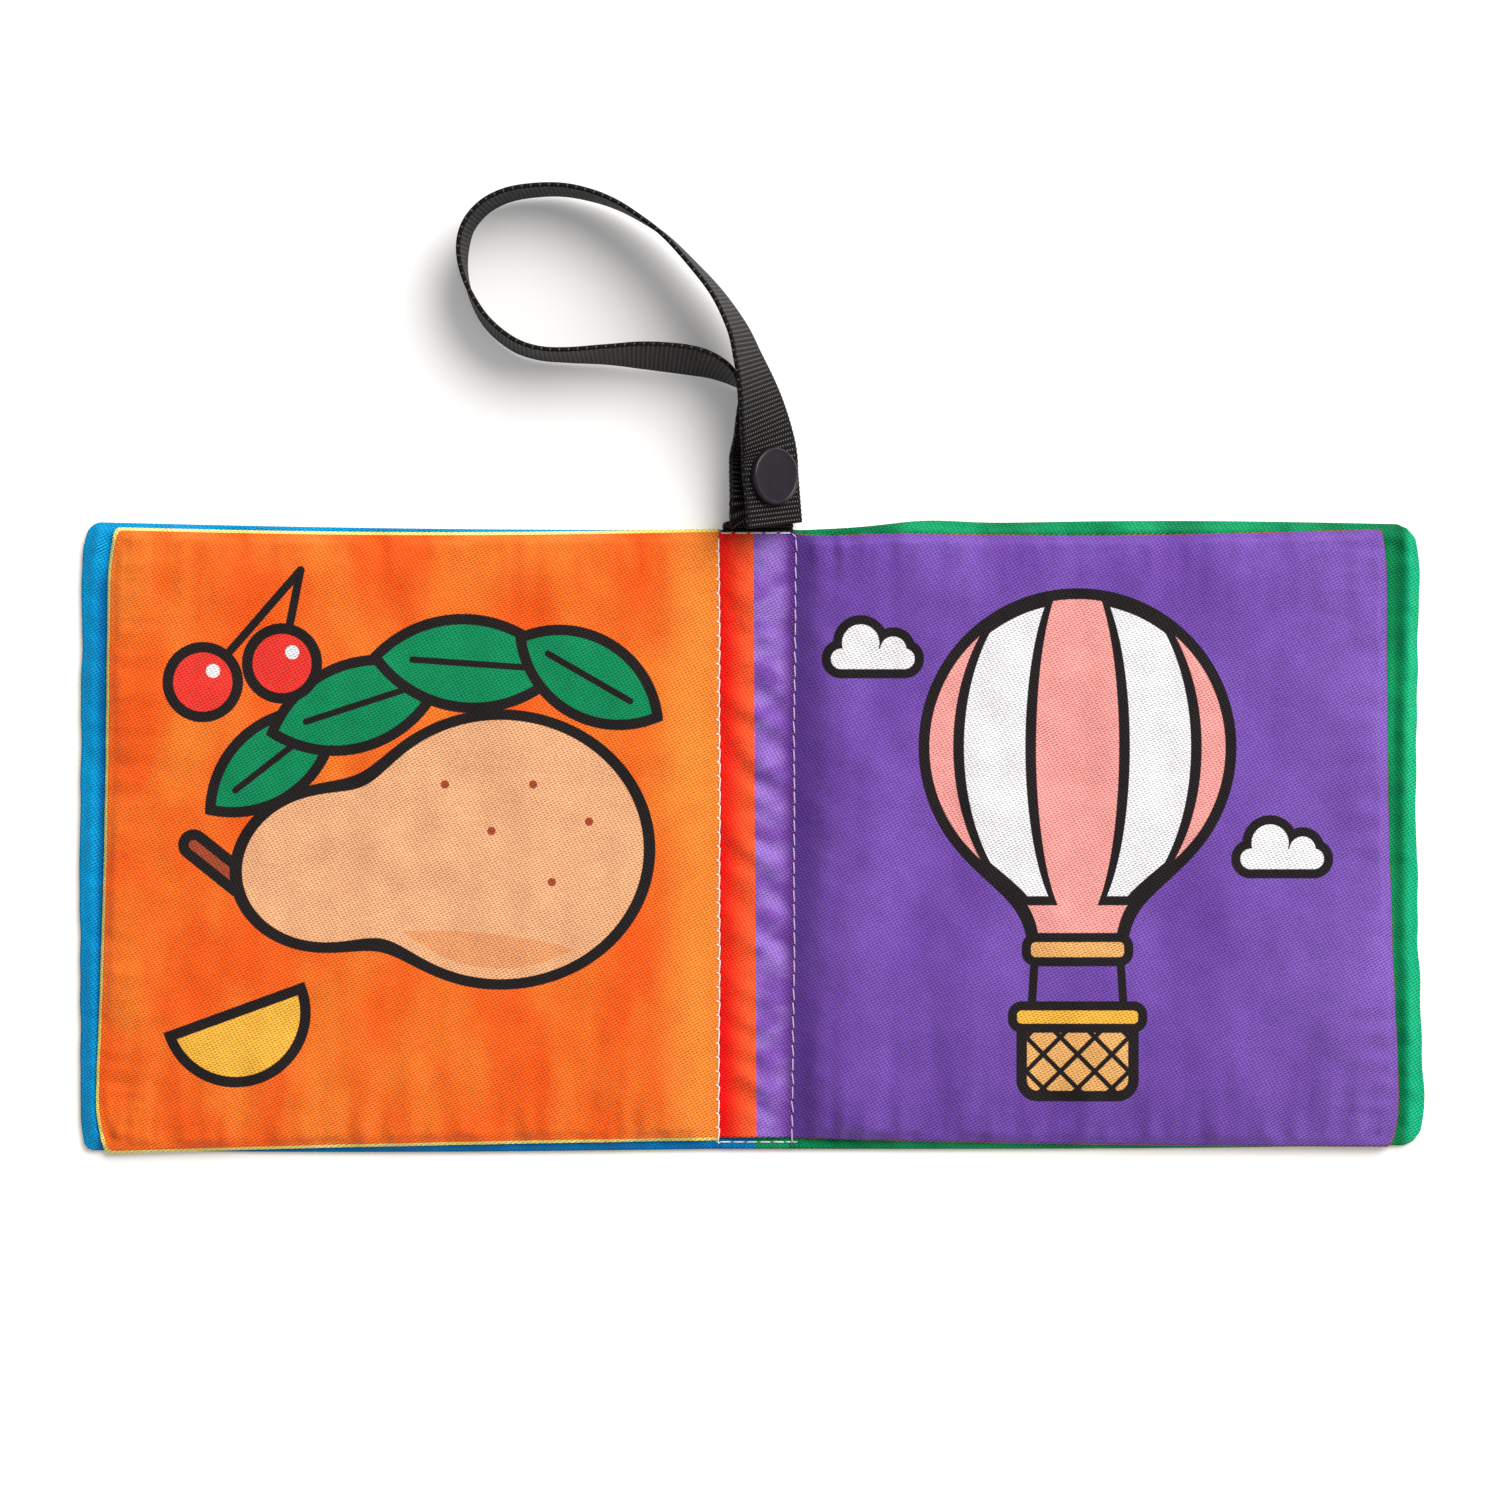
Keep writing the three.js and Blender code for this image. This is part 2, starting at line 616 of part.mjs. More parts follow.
const book = new THREE.Group();
book.add(
  ...sideOfBook(leftPage, frontCover, { page: 'left_page', cover: 'front_cover' }, {
    coverOuter: bookCloths.cover(), coverInner: bookCloths.blue(),
    pageBack: bookCloths.yellow(), pageFace: bookCloths.orange(),
  }),
  ...sideOfBook(rightPage, backCover, { page: 'right_page', cover: 'back_cover' }, {
    coverOuter: bookCloths.cover(), coverInner: bookCloths.green(),
    pageBack: bookCloths.brown(), pageFace: bookCloths.purple(),
  }),
  ...spineBand(),
  ...spineThreads(),
  ...strapAndSnap(),
);
console.log(`strap outside the book: ${strapCurve.getLength().toFixed(1)} mm`);

export default book;
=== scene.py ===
# A cloth crinkle book lying open, with its stitched spine and its webbing strap.
# Sizes are in metres, and mm turns a size in millimetres into them.
import math
import bpy
from mathutils import Matrix, Vector, noise


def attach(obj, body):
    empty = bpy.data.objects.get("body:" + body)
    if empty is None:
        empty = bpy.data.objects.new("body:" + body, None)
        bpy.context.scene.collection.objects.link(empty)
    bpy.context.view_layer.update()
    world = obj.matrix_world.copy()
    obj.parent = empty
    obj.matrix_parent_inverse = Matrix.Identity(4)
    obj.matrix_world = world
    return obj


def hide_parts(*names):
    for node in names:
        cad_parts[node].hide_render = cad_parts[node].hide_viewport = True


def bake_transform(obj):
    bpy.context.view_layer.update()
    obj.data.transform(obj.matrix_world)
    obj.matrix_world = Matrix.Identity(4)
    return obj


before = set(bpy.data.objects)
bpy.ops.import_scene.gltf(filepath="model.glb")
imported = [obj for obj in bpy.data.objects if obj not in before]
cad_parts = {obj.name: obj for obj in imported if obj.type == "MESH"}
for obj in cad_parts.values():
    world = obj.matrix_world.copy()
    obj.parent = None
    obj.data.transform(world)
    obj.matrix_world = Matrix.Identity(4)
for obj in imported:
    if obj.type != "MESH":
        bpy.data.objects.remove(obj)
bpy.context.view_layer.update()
mm = 0.001


def clamp(value, low=0.0, high=1.0):
    return max(low, min(high, value))


def smooth(value):
    share = clamp(value)
    return share * share * (3 - 2 * share)


def lerp(low, high, share):
    return low + (high - low) * share


def pick(*pieces):
    # Selects these pieces alone, the first one active
    bpy.ops.object.select_all(action="DESELECT")
    for piece in pieces:
        piece.select_set(True)
    if pieces:
        bpy.context.view_layer.objects.active = pieces[0]


# Camera: straight above, far away, with a long lens
view = {
    "centre": (-1.4 * mm, 19.4 * mm),
    "width": 323.25 * mm,
    "distance": 1.8,
    "sensor": 36.0,
    "clip": (0.01, 20),
}


def makeCamera():
    bpy.ops.object.camera_add(location=(view["centre"][0], view["centre"][1], view["distance"]))
    camera = bpy.context.object
    camera.name = "bookCamera"
    camera.data.sensor_width = view["sensor"]
    camera.data.lens = view["sensor"] * view["distance"] / view["width"]
    camera.data.clip_start, camera.data.clip_end = view["clip"]
    bpy.context.scene.camera = camera
    bpy.context.scene.view_settings.view_transform = "Standard"


makeCamera()
print("camera")


# Node helpers for the materials
class Nodes:
    def __init__(self, name):
        self.material = bpy.data.materials.new(name)
        self.material.use_nodes = True
        self.tree = self.material.node_tree
        self.shader = self.tree.nodes["Principled BSDF"]

    def add(self, kind, **settings):
        node = self.tree.nodes.new(kind)
        for key, value in settings.items():
            setattr(node, key, value)
        return node

    def link(self, source, target):
        if hasattr(source, "outputs"):
            source = source.outputs[0]
        self.tree.links.new(source, target)

    def put(self, value, target):
        if isinstance(value, (int, float, tuple)):
            target.default_value = value
        else:
            self.link(value, target)

    def surface(self, name, value):
        # Gives the shader a plain value or a node's
        self.put(value, self.shader.inputs[name])

    def math(self, operation, first, second=0.0, third=0.0, limit=False):
        node = self.add("ShaderNodeMath", operation=operation, use_clamp=limit)
        for index, value in enumerate((first, second, third)):
            self.put(value, node.inputs[index])
        return node.outputs[0]

    def times(self, first, second):
        return self.math("MULTIPLY", first, second)

    def timesPlus(self, first, second, third):
        return self.math("MULTIPLY_ADD", first, second, third)

    def plus(self, first, second):
        return self.math("ADD", first, second)

    def minus(self, first, second):
        return self.math("SUBTRACT", first, second)

    def over(self, first, second):
        return self.math("DIVIDE", first, second)

    def size(self, value):
        return self.math("ABSOLUTE", value)

    def mix(self, share, first, second, blend="MIX"):
        node = self.add("ShaderNodeMix", data_type="RGBA", blend_type=blend)
        self.put(share, node.inputs[0])
        self.put(first, node.inputs[6])
        self.put(second, node.inputs[7])
        return node.outputs[2]

    def stain(self, base, share, strength, code):
        return self.mix(self.times(share, strength), base, colour(code))

    def noise(self, vector, scale, detail=2.0, roughness=0.5, stretch=None):
        if stretch:
            mapping = self.add("ShaderNodeMapping")
            mapping.inputs["Scale"].default_value = stretch
            self.link(vector, mapping.inputs["Vector"])
            vector = mapping.outputs[0]
        node = self.add("ShaderNodeTexNoise")
        node.inputs["Scale"].default_value = scale
        node.inputs["Detail"].default_value = detail
        node.inputs["Roughness"].default_value = roughness
        self.link(vector, node.inputs["Vector"])
        return node.outputs["Fac"]

    def ramp(self, value, low, high):
        node = self.add("ShaderNodeMapRange", interpolation_type="SMOOTHSTEP")
        node.inputs["From Min"].default_value = low
        node.inputs["From Max"].default_value = high
        self.link(value, node.inputs["Value"])
        return node.outputs[0]

    def fall(self, value, low, high):
        return self.minus(1.0, self.ramp(value, low, high))

    def bump(self, height, distance, strength=1.0, before=None):
        node = self.add("ShaderNodeBump")
        node.inputs["Strength"].default_value = strength
        node.inputs["Distance"].default_value = distance
        self.link(height, node.inputs["Height"])
        if before is not None:
            self.link(before, node.inputs["Normal"])
        return node.outputs[0]


def colour(code):
    # A screen colour such as "f6691d" as linear light
    parts = [int(code[index:index + 2], 16) / 255 for index in (0, 2, 4)]
    return tuple(part / 12.92 if part < 0.04045 else ((part + 0.055) / 1.055) ** 2.4 for part in parts) + (1.0,)


# Shapes of the printed pictures, measured in millimetres on the cloth. Each gives a signed
# distance: negative inside, positive outside.
class Print:
    def __init__(self, nodes, x, y, ground=None):
        self.nodes = nodes
        self.x = x
        self.y = y
        self.ground = ground

    def moved(self, centre, degrees=0.0):
        # The same cloth measured from another place and turned
        nodes = self.nodes
        x = nodes.minus(self.x, centre[0])
        y = nodes.minus(self.y, centre[1])
        if degrees:
            turn = math.radians(degrees)
            turnedX = nodes.timesPlus(y, math.sin(turn), nodes.times(x, math.cos(turn)))
            y = nodes.timesPlus(x, -math.sin(turn), nodes.times(y, math.cos(turn)))
            x = turnedX
        return Print(nodes, x, y)

    def length(self, x, y):
        nodes = self.nodes
        squares = nodes.timesPlus(x, x, nodes.times(y, y))
        return nodes.math("SQRT", squares)

    def circle(self, centre, radius):
        place = self.moved(centre)
        return self.nodes.minus(self.length(place.x, place.y), radius)

    def ellipse(self, centre, radii, degrees=0.0):
        place = self.moved(centre, degrees)
        nodes = self.nodes
        x = nodes.over(place.x, radii[0])
        y = nodes.over(place.y, radii[1])
        return nodes.times(nodes.minus(self.length(x, y), 1.0), min(radii))

    def roundBox(self, centre, half, corner, degrees=0.0):
        place = self.moved(centre, degrees)
        nodes = self.nodes
        x = nodes.minus(nodes.size(place.x), half[0] - corner)
        y = nodes.minus(nodes.size(place.y), half[1] - corner)
        outside = self.length(nodes.math("MAXIMUM", x, 0.0), nodes.math("MAXIMUM", y, 0.0))
        inside = nodes.math("MINIMUM", nodes.math("MAXIMUM", x, y), 0.0)
        return nodes.minus(nodes.plus(outside, inside), corner)

    def leaf(self, centre, length, bulge, degrees=0.0):
        # Two circles overlapping in a pointed leaf
        place = self.moved(centre, degrees)
        nodes = self.nodes
        radius = (length * length / 4 + bulge * bulge) / (2 * bulge)
        offset = radius - bulge
        upper = self.length(place.x, nodes.plus(place.y, offset))
        lower = self.length(place.x, nodes.minus(place.y, offset))
        return nodes.minus(nodes.math("MAXIMUM", upper, lower), radius)

    def line(self, start, end, width):
        nodes = self.nodes
        dx, dy = end[0] - start[0], end[1] - start[1]
        place = self.moved(start)
        along = nodes.timesPlus(place.x, dx, nodes.times(place.y, dy))
        share = nodes.math("DIVIDE", along, dx * dx + dy * dy, limit=True)
        x = nodes.timesPlus(share, -dx, place.x)
        y = nodes.timesPlus(share, -dy, place.y)
        return nodes.minus(self.length(x, y), width / 2)

    def join(self, *shapes, soft=0.0):
        nodes = self.nodes
        result = shapes[0]
        for shape in shapes[1:]:
            if soft:
                result = nodes.math("SMOOTH_MIN", result, shape, soft)
            else:
                result = nodes.math("MINIMUM", result, shape)
        return result

    def both(self, first, second):
        return self.nodes.math("MAXIMUM", first, second)

    def ring(self, shape, width):
        nodes = self.nodes
        return nodes.minus(nodes.size(shape), width / 2)

    def fill(self, shape, ink):
        # Inks a shape over what is printed so far
        inside = self.nodes.fall(shape, -inkBleed, inkBleed)
        self.ground = self.nodes.mix(inside, self.ground, printInk[ink])

    def draw(self, shape, ink, outline=None):
        self.fill(shape, ink)
        self.fill(self.ring(shape, outline or outlineWidth), "black")


printInk = {
    "black": colour("221d1e"),
    "peach": colour("f3b283"),
    "green": colour("0c8a58"),
    "red": colour("f43c33"),
    "brown": colour("a4492f"),
    "yellow": colour("fbb945"),
    "pink": colour("f9a29c"),
    "white": colour("f3f1f4"),
    "tan": colour("eeb06a"),
    "blush": colour("efa06c"),
}
outlineWidth = 2.3
inkBleed = 0.1


def fruitPrint(picture):
    # A big pear lying on its side, with leaves, two cherries and a slice of melon
    pear = picture.join(
        picture.ellipse((-55, -2), (32, 29)), picture.ellipse((-92, -6), (20, 17), 8), soft=14)
    stem = picture.line((-111, -9), (-121, -1), 4.4)
    cherries = ((-119, 34), (-102, 38))
    picture.draw(stem, "brown")
    for centre, length, bulge, degrees in (
            ((-104, 17), 34, 8, 38), ((-86, 29), 38, 9, 18), ((-62, 38), 40, 9.5, -4), ((-36, 35), 34, 8.5, -30)):
        blade = picture.leaf(centre, length, bulge, degrees)
        picture.draw(blade, "green")
        turn = math.radians(degrees)
        rib = (math.cos(turn) * length * 0.3, math.sin(turn) * length * 0.3)
        vein = picture.line((centre[0] - rib[0], centre[1] - rib[1]), (centre[0] + rib[0], centre[1] + rib[1]), 1.4)
        picture.fill(vein, "black")
    picture.draw(pear, "peach")
    blush = picture.both(pear, picture.ellipse((-70, -40), (60, 24)))
    picture.fill(picture.both(picture.nodes.plus(blush, 3.4), blush), "blush")
    for centre in cherries:
        stalk = picture.line(centre, (-98, 58), 1.8)
        picture.fill(stalk, "black")
    for centre in cherries:
        picture.draw(picture.circle(centre, 7.5), "red")
        picture.fill(picture.circle((centre[0] + 2.2, centre[1] + 2.4), 1.5), "white")
    for spot in ((-48, 12), (-36, 4), (-57, 2), (-44, -9), (-67, 12)):
        picture.fill(picture.circle(spot, 0.9), "brown")
    melon = picture.both(picture.circle((-112, -37), 15), picture.moved((-112, -37), 20).y)
    picture.draw(melon, "yellow")


def balloonPrint(picture):
    # A striped hot-air balloon over a woven basket
    nodes = picture.nodes
    centreX, ballY, ballRadius, basketY = 69, 20, 33, -46
    ball = picture.circle((centreX, ballY), ballRadius)
    neck = picture.roundBox((centreX, -16), (9, 8), 2)
    envelope = picture.join(ball, neck, soft=20)
    for way in (-1, 1):
        rope = picture.line((centreX + way * 9, -22), (centreX + way * 10, -38), 1.8)
        picture.fill(rope, "black")
    picture.draw(envelope, "pink")
    # Gores that narrow towards the crown and the neck
    place = picture.moved((centreX, ballY))
    left = nodes.minus(1500.0, nodes.times(place.y, place.y))
    across = nodes.over(place.x, nodes.math("SQRT", nodes.math("MAXIMUM", left, 60.0)))
    inner = nodes.plus(envelope, 1.1)
    gore = nodes.minus(nodes.size(nodes.minus(nodes.size(across), 0.46)), 0.2)
    goreShape = picture.both(nodes.times(gore, ballRadius), inner)
    goreShape = picture.both(goreShape, nodes.minus(-13.0, picture.y))
    picture.draw(goreShape, "white", 2.0)
    picture.fill(picture.ring(envelope, outlineWidth), "black")
    band = picture.roundBox((centreX, -23.5), (11, 2.6), 2)
    picture.draw(band, "tan", 2.0)
    basket = picture.roundBox((centreX, basketY), (12, 9), 3.5)
    picture.draw(basket, "tan")
    # The basket's weave
    place = picture.moved((centreX, basketY), 45)
    for axis in (place.x, place.y):
        wave = nodes.math("PINGPONG", axis, 2.6)
        strand = picture.both(nodes.minus(wave, 0.5), nodes.plus(basket, 1.0))
        picture.fill(strand, "black")
    rim = picture.roundBox((centreX, -38), (14, 2.4), 2)
    picture.draw(rim, "yellow", 2.0)
    for centre in ((25, 40), (113, -3)):
        cloud = picture.join(
            picture.roundBox((centre[0], centre[1] - 1), (10, 3.2), 3.2),
            picture.circle((centre[0] - 2.6, centre[1] + 2.4), 5),
            picture.circle((centre[0] + 4.4, centre[1] + 1), 3.8))
        picture.draw(cloud, "white", 2.0)


# Satin cloth: a colour that shifts a little with the dye, flecks and mottles, diagonal ribs, and
# the fine bump of its threads. Shade, fleck and mottle give how much they change the colour and
# what it is at their lowest.
cloth = {
    "ribPitch": 0.6, "ribAngle": 29.0, "ribWander": 0.16, "threadPitch": 0.78, "threadDepth": (0.45, 0.8),
    "shade": (0.2, 0.93), "fleck": (0.7, 0.65), "mottle": (0.45, 0.785), "creaseBump": 0.0009, "weaveBump": 0.00012,
    "roughness": (0.12, 0.34), "gloss": 0.7, "sheen": 0.05, "sheenRoughness": 0.4, "whiteGloss": 0.12,
}


def clothMaterial(name, deepCode, brightCode, picture=None, spotsAndPaintedLight=None):
    nodes = Nodes(name)
    deep, bright = colour(deepCode), colour(brightCode)
    # The threads are dyed through, so their gloss has the cloth's own colour
    glossColour = tuple(lerp(part, 1.0, cloth["whiteGloss"]) for part in bright[:3]) + (1.0,)
    place = nodes.add("ShaderNodeUVMap", uv_map="cloth")
    parts = nodes.add("ShaderNodeSeparateXYZ")
    nodes.link(place, parts.inputs[0])
    # The map is in decimetres, and the print is drawn in millimetres
    x, y = (nodes.times(part, 100.0) for part in parts.outputs[:2])
    dye = nodes.noise(place, 3.4, 2.5, 0.55, stretch=(1.5, 0.7, 1))
    base = nodes.mix(nodes.ramp(dye, 0.34, 0.7), deep, bright)
    # The spots add print halves and painted light and shade
    if spotsAndPaintedLight:
        base = spotsAndPaintedLight(nodes, x, y, base)
    if picture:
        drawing = Print(nodes, x, y, base)
        picture(drawing)
        base = drawing.ground
    # Ribs of the twill
    turn = math.radians(cloth["ribAngle"])
    across = nodes.timesPlus(y, math.cos(turn), nodes.times(x, -math.sin(turn)))
    wander = nodes.noise(place, 90.0, 1.0, 0.5)
    across = nodes.timesPlus(wander, cloth["ribWander"], across)
    rib = nodes.math("SINE", nodes.times(across, 2 * math.pi / cloth["ribPitch"]))
    along = nodes.timesPlus(x, math.cos(turn), nodes.times(y, math.sin(turn)))
    thread = nodes.math("SINE", nodes.times(along, 2 * math.pi / cloth["threadPitch"]))
    weave = nodes.times(nodes.timesPlus(thread, *cloth["threadDepth"]), rib)
    fleck = nodes.noise(place, 140.0, 3.0, 0.7)
    mottle = nodes.noise(place, 17.0, 4.0, 0.7)
    shade = nodes.timesPlus(weave, *cloth["shade"])
    shade = nodes.times(shade, nodes.timesPlus(fleck, *cloth["fleck"]))
    shade = nodes.times(shade, nodes.timesPlus(mottle, *cloth["mottle"]))
    tint = nodes.add("ShaderNodeCombineColor")
    for channel in range(3):
        nodes.link(shade, tint.inputs[channel])
    painted = nodes.mix(1.0, base, tint.outputs[0], "MULTIPLY")
    nodes.surface("Base Color", painted)
    if picture:
        nodes.surface("Specular Tint", nodes.mix(cloth["whiteGloss"], base, (1, 1, 1, 1)))
    else:
        nodes.surface("Specular Tint", glossColour)
    nodes.surface("Sheen Tint", glossColour)
    crease = nodes.noise(place, 9.0, 3.0, 0.5)
    soft = nodes.bump(crease, cloth["creaseBump"], 0.5)
    nodes.surface("Normal", nodes.bump(weave, cloth["weaveBump"], 1.0, soft))
    nodes.surface("Roughness", nodes.timesPlus(fleck, *cloth["roughness"]))
    nodes.surface("Sheen Weight", cloth["sheen"])
    nodes.surface("Sheen Roughness", cloth["sheenRoughness"])
    nodes.surface("Specular IOR Level", cloth["gloss"])
    return nodes.material


def orangePaintedHighlight(nodes, x, y, base):
    # A painted highlight makes the cloth paler beside the spine
    return nodes.stain(base, nodes.ramp(x, -25.0, -12.0), 0.7, "f89238")


def purplePaintedLight(nodes, x, y, base):
    # Painted shade makes it darker in the gutter and at the bottom, and a painted highlight makes it paler towards the
    # fore-edge
    base = nodes.stain(base, nodes.fall(x, 9.0, 17.0), 0.6, "3d1f68")
    base = nodes.stain(base, nodes.fall(y, -62.0, -20.0), 0.4, "5f3c92")
    return nodes.stain(base, nodes.ramp(x, 95.0, 138.0), 0.2, "9a76cc")


colourMeeting = (-0.42, -0.22)


def bandHalvesAndPaintedLight(nodes, x, y, base):
    # The spine band is printed in two colours that meet near its middle, with painted glints and painted shade on its
    # purple half
    place = nodes.add("ShaderNodeCombineXYZ")
    nodes.link(x, place.inputs[0])
    nodes.link(y, place.inputs[1])
    # Painted glints: paler patches on the purple half
    glint = nodes.noise(place, 0.13, 1.5, 0.5, stretch=(0.7, 1.2, 1))
    purple = nodes.mix(nodes.ramp(glint, 0.38, 0.62), colour("7753b6"), colour("9375d0"))
    # Painted shade darkens the purple half towards the right row of stitching
    purple = nodes.mix(nodes.ramp(x, 4.4, 8.4), purple, colour("40247c"))
    red = nodes.mix(nodes.ramp(x, -7.6, -0.5), base, colour("ff5f30"))
    return nodes.mix(nodes.ramp(nodes.timesPlus(y, 0.005, x), *colourMeeting), red, purple)


def bluePaintedShadow(nodes, x, y, base):
    # A painted shadow of the page makes it darker beside the page's fore-edge
    beside = nodes.times(nodes.ramp(x, -143.0, -141.0), nodes.fall(y, 54.0, 62.0))
    return nodes.stain(base, beside, 0.8, "0062a6")


def greenPaintedLight(nodes, x, y, base):
    # Painted shade makes a dark line beside the page's fore-edge, and a painted highlight brightens the cloth outside
    # it
    base = nodes.stain(base, nodes.fall(nodes.size(nodes.minus(x, 138.2)), 0.2, 1.5), 0.6, "04663c")
    return nodes.stain(base, nodes.ramp(x, 139.0, 141.0), 0.65, "16c08c")


def insideHalves(nodes, x, y, base):
    return nodes.mix(nodes.ramp(x, *colourMeeting), base, colour("0c9058"))


# Each cloth's deep and bright colour, its picture, and its spots, which hold print halves and painted light and shade
clothColouring = {
    "orange": ("ff5e1a", "ff802c", fruitPrint, orangePaintedHighlight),
    "purple": ("6f47a5", "7c55b5", balloonPrint, purplePaintedLight),
    "band": ("ff0a10", "ff2814", None, bandHalvesAndPaintedLight),
    "blue": ("008cca", "009ed8", None, bluePaintedShadow),
    "green": ("027a49", "10a067", None, greenPaintedLight),
    "yellow": ("f2dc6a", "faed92"),
    "brown": ("83402c", "99513b"),
    "cover": ("f3dd8c", "faeaa8"),
    "coverInside": ("0075b6", "048fce", None, insideHalves),
    "coverBand": ("dd2f22", "ee4633"),
}
materials = {name: clothMaterial(f"{name}Cloth", *dye) for name, dye in clothColouring.items()}
print("cloth materials")

# The book's cloths, in millimetres as in the drawing. Across is measured from a row of
# stitching, and both rows waver a little. A top bump is how much the top edge rises and at what
# share of the way across, and the back cloth of a page stands out by its back margin.
spine = {
    "foldX": 8.2, "top": 66.4, "bottom": 64.0, "coverTop": 66.8, "coverBottom": 66.5,
    "seamZ": 1.62, "tailEnd": 48.4, "tailLift": 0.62, "stitchTop": 66.1, "stitchBottom": -65.0,
}
clothThickness = 0.35
clothPitch = 0.65
crown = {"height": 0.6, "reach": 16.0, "wave": 0.25, "waveLength": 58.0, "waveSlant": 0.35}
gathers = {
    "topReach": 10.0, "bottomReach": 13.0, "foreReach": 8.0, "seamDepth": 0.9, "rowReach": 7.0, "rowDepth": 0.5,
    "dentDepth": 0.95, "smallDentDepth": 0.4,
}
hemRidge = {"height": 0.8, "place": 2.4, "width": 1.5, "start": 15.0, "growth": 10.0}
pageLoft = {"edge": 0.34, "rise": 0.66, "riseReach": 2.2, "billow": 0.9, "lip": 0.24, "lipReach": 1.1}
bumpWidth = 0.08
foldSpan = {"inner": 0.4, "strip": 1.4, "leaf": 4.0}  # how far from a fold its pieces bend
threadRoom = 0.42  # how much the lowest cloth lifts over the bobbin thread
flatHeights = {"page": 131.6, "cover": 133.9, "pageBand": 130.4, "coverBand": 133.3}
leafGrid = 170
edgeCrowding = 0.35  # how much closer a leaf's grid lines lie at its edges
leaves = {
    "leftPage": {
        "side": -1, "reach": 132.3, "top": 66.4, "bottom": 64.0, "topRise": 0.3, "topSag": 0.9,
        "bottomDrop": 2.9, "bottomSag": 0.3, "foreSlant": 1.5, "foreBow": -0.7, "topTuck": 1.6, "bottomTuck": 2.5,
        "tuckShare": 0.1, "corner": 1.0, "seed": 3.1, "edgeWaver": 0.12, "rowSlope": 13.0, "backMargin": 0.65,
        "topBump": (0, 0.1)},
    "rightPage": {
        "side": 1, "reach": 129.0, "top": 66.4, "bottom": 64.0, "topRise": 0.4, "topSag": 1.1,
        "bottomDrop": 1.9, "bottomSag": -0.4, "foreSlant": 1.6, "foreBow": -1.1, "topTuck": 1.1, "bottomTuck": 2.5,
        "tuckShare": 0.1, "corner": 0.9, "seed": 8.7, "edgeWaver": 0.12, "rowSlope": 7.0, "backMargin": 0.2,
        "topBump": (-0.8, 0.04)},
    "frontCover": {
        "side": -1, "reach": 137.1, "top": 66.8, "bottom": 66.5, "topRise": 1.7, "topSag": 0.5,
        "bottomDrop": 0.3, "bottomSag": -0.5, "foreSlant": 0.2, "foreBow": 0.3, "topTuck": 2.2, "bottomTuck": 1.1,
        "tuckShare": 0.06, "corner": 1.5, "seed": 15.3, "edgeWaver": 0.35, "backMargin": 0.0, "topBump": (0, 0.1)},
    "backCover": {
        "side": 1, "reach": 135.6, "top": 66.8, "bottom": 66.5, "topRise": 1.2, "topSag": -1.3,
        "bottomDrop": -0.8, "bottomSag": -0.3, "foreSlant": 0.6, "foreBow": -1.7, "topTuck": 2.2, "bottomTuck": 2.1,
        "tuckShare": 0.1, "corner": 3.0, "seed": 21.9, "edgeWaver": 0.45, "backMargin": 0.0, "topBump": (1.0, 0.2)},
}


def waver(first, second, seed):
    return noise.noise(Vector((first, second, seed)))


def rowX(side, y):
    # Where a row of stitching runs
    if side < 0:
        return -8.15 + 0.2 * math.sin((y + 60) / 42) + 0.05 * math.sin(y / 6)
    return 8.1 + 0.45 * smooth((y - 20) / 50) - 0.5 * smooth((-y - 20) / 50) + 0.05 * math.sin(y / 5)


def fromRows(x, y):
    # How far inside the two rows a place lies
    return min(x - rowX(-1, y), rowX(1, y) - x)


def topEdge(leaf, across):
    amount, place = leaf["topBump"]
    bump = amount * math.exp(-((across - place) / bumpWidth) ** 2)
    return leaf["top"] + leaf["topRise"] * across - leaf["topSag"] * math.sin(math.pi * across) + bump


def bottomEdge(leaf, across):
    return -leaf["bottom"] - leaf["bottomDrop"] * across + leaf["bottomSag"] * math.sin(math.pi * across)


def foreEdge(leaf, up):
    atTop = max(0, 1 - (1 - up) / leaf["tuckShare"]) ** 2
    atBottom = max(0, 1 - up / leaf["tuckShare"]) ** 2
    reach = leaf["reach"] + leaf["foreSlant"] * (1 - 2 * up) + leaf["foreBow"] * math.sin(math.pi * up)
    reach += leaf["edgeWaver"] * waver(up * 17, up * 3, leaf["seed"] + 50)
    return reach - leaf["topTuck"] * atTop - leaf["bottomTuck"] * atBottom


def edgeRise(distance):
    share = clamp(distance / crown["reach"])
    return share * (2 - share)


def leafDistances(leaf, x, y):
    # How far a place lies from the row of stitching, the fore-edge, the top and the bottom
    across = leaf["side"] * (x - rowX(leaf["side"], y))
    up = clamp((y + leaf["bottom"]) / (leaf["top"] + leaf["bottom"]))
    share = clamp(across / leaf["reach"])
    return across, foreEdge(leaf, up) - across, topEdge(leaf, share) - y, y - bottomEdge(leaf, share)


def leafRise(leaf, x, y):
    across, fore, top, bottom = leafDistances(leaf, x, y)
    edges = edgeRise(across - 0.6) * edgeRise(fore) * edgeRise(top) * edgeRise(bottom)
    slant = crown["waveSlant"]
    wave = math.sin(2 * math.pi * (y + slant * across) / crown["waveLength"])
    wave *= math.cos(math.pi * (across - slant * y) / crown["waveLength"])
    return edges * (crown["height"] + crown["wave"] * (1 + wave) / 2)


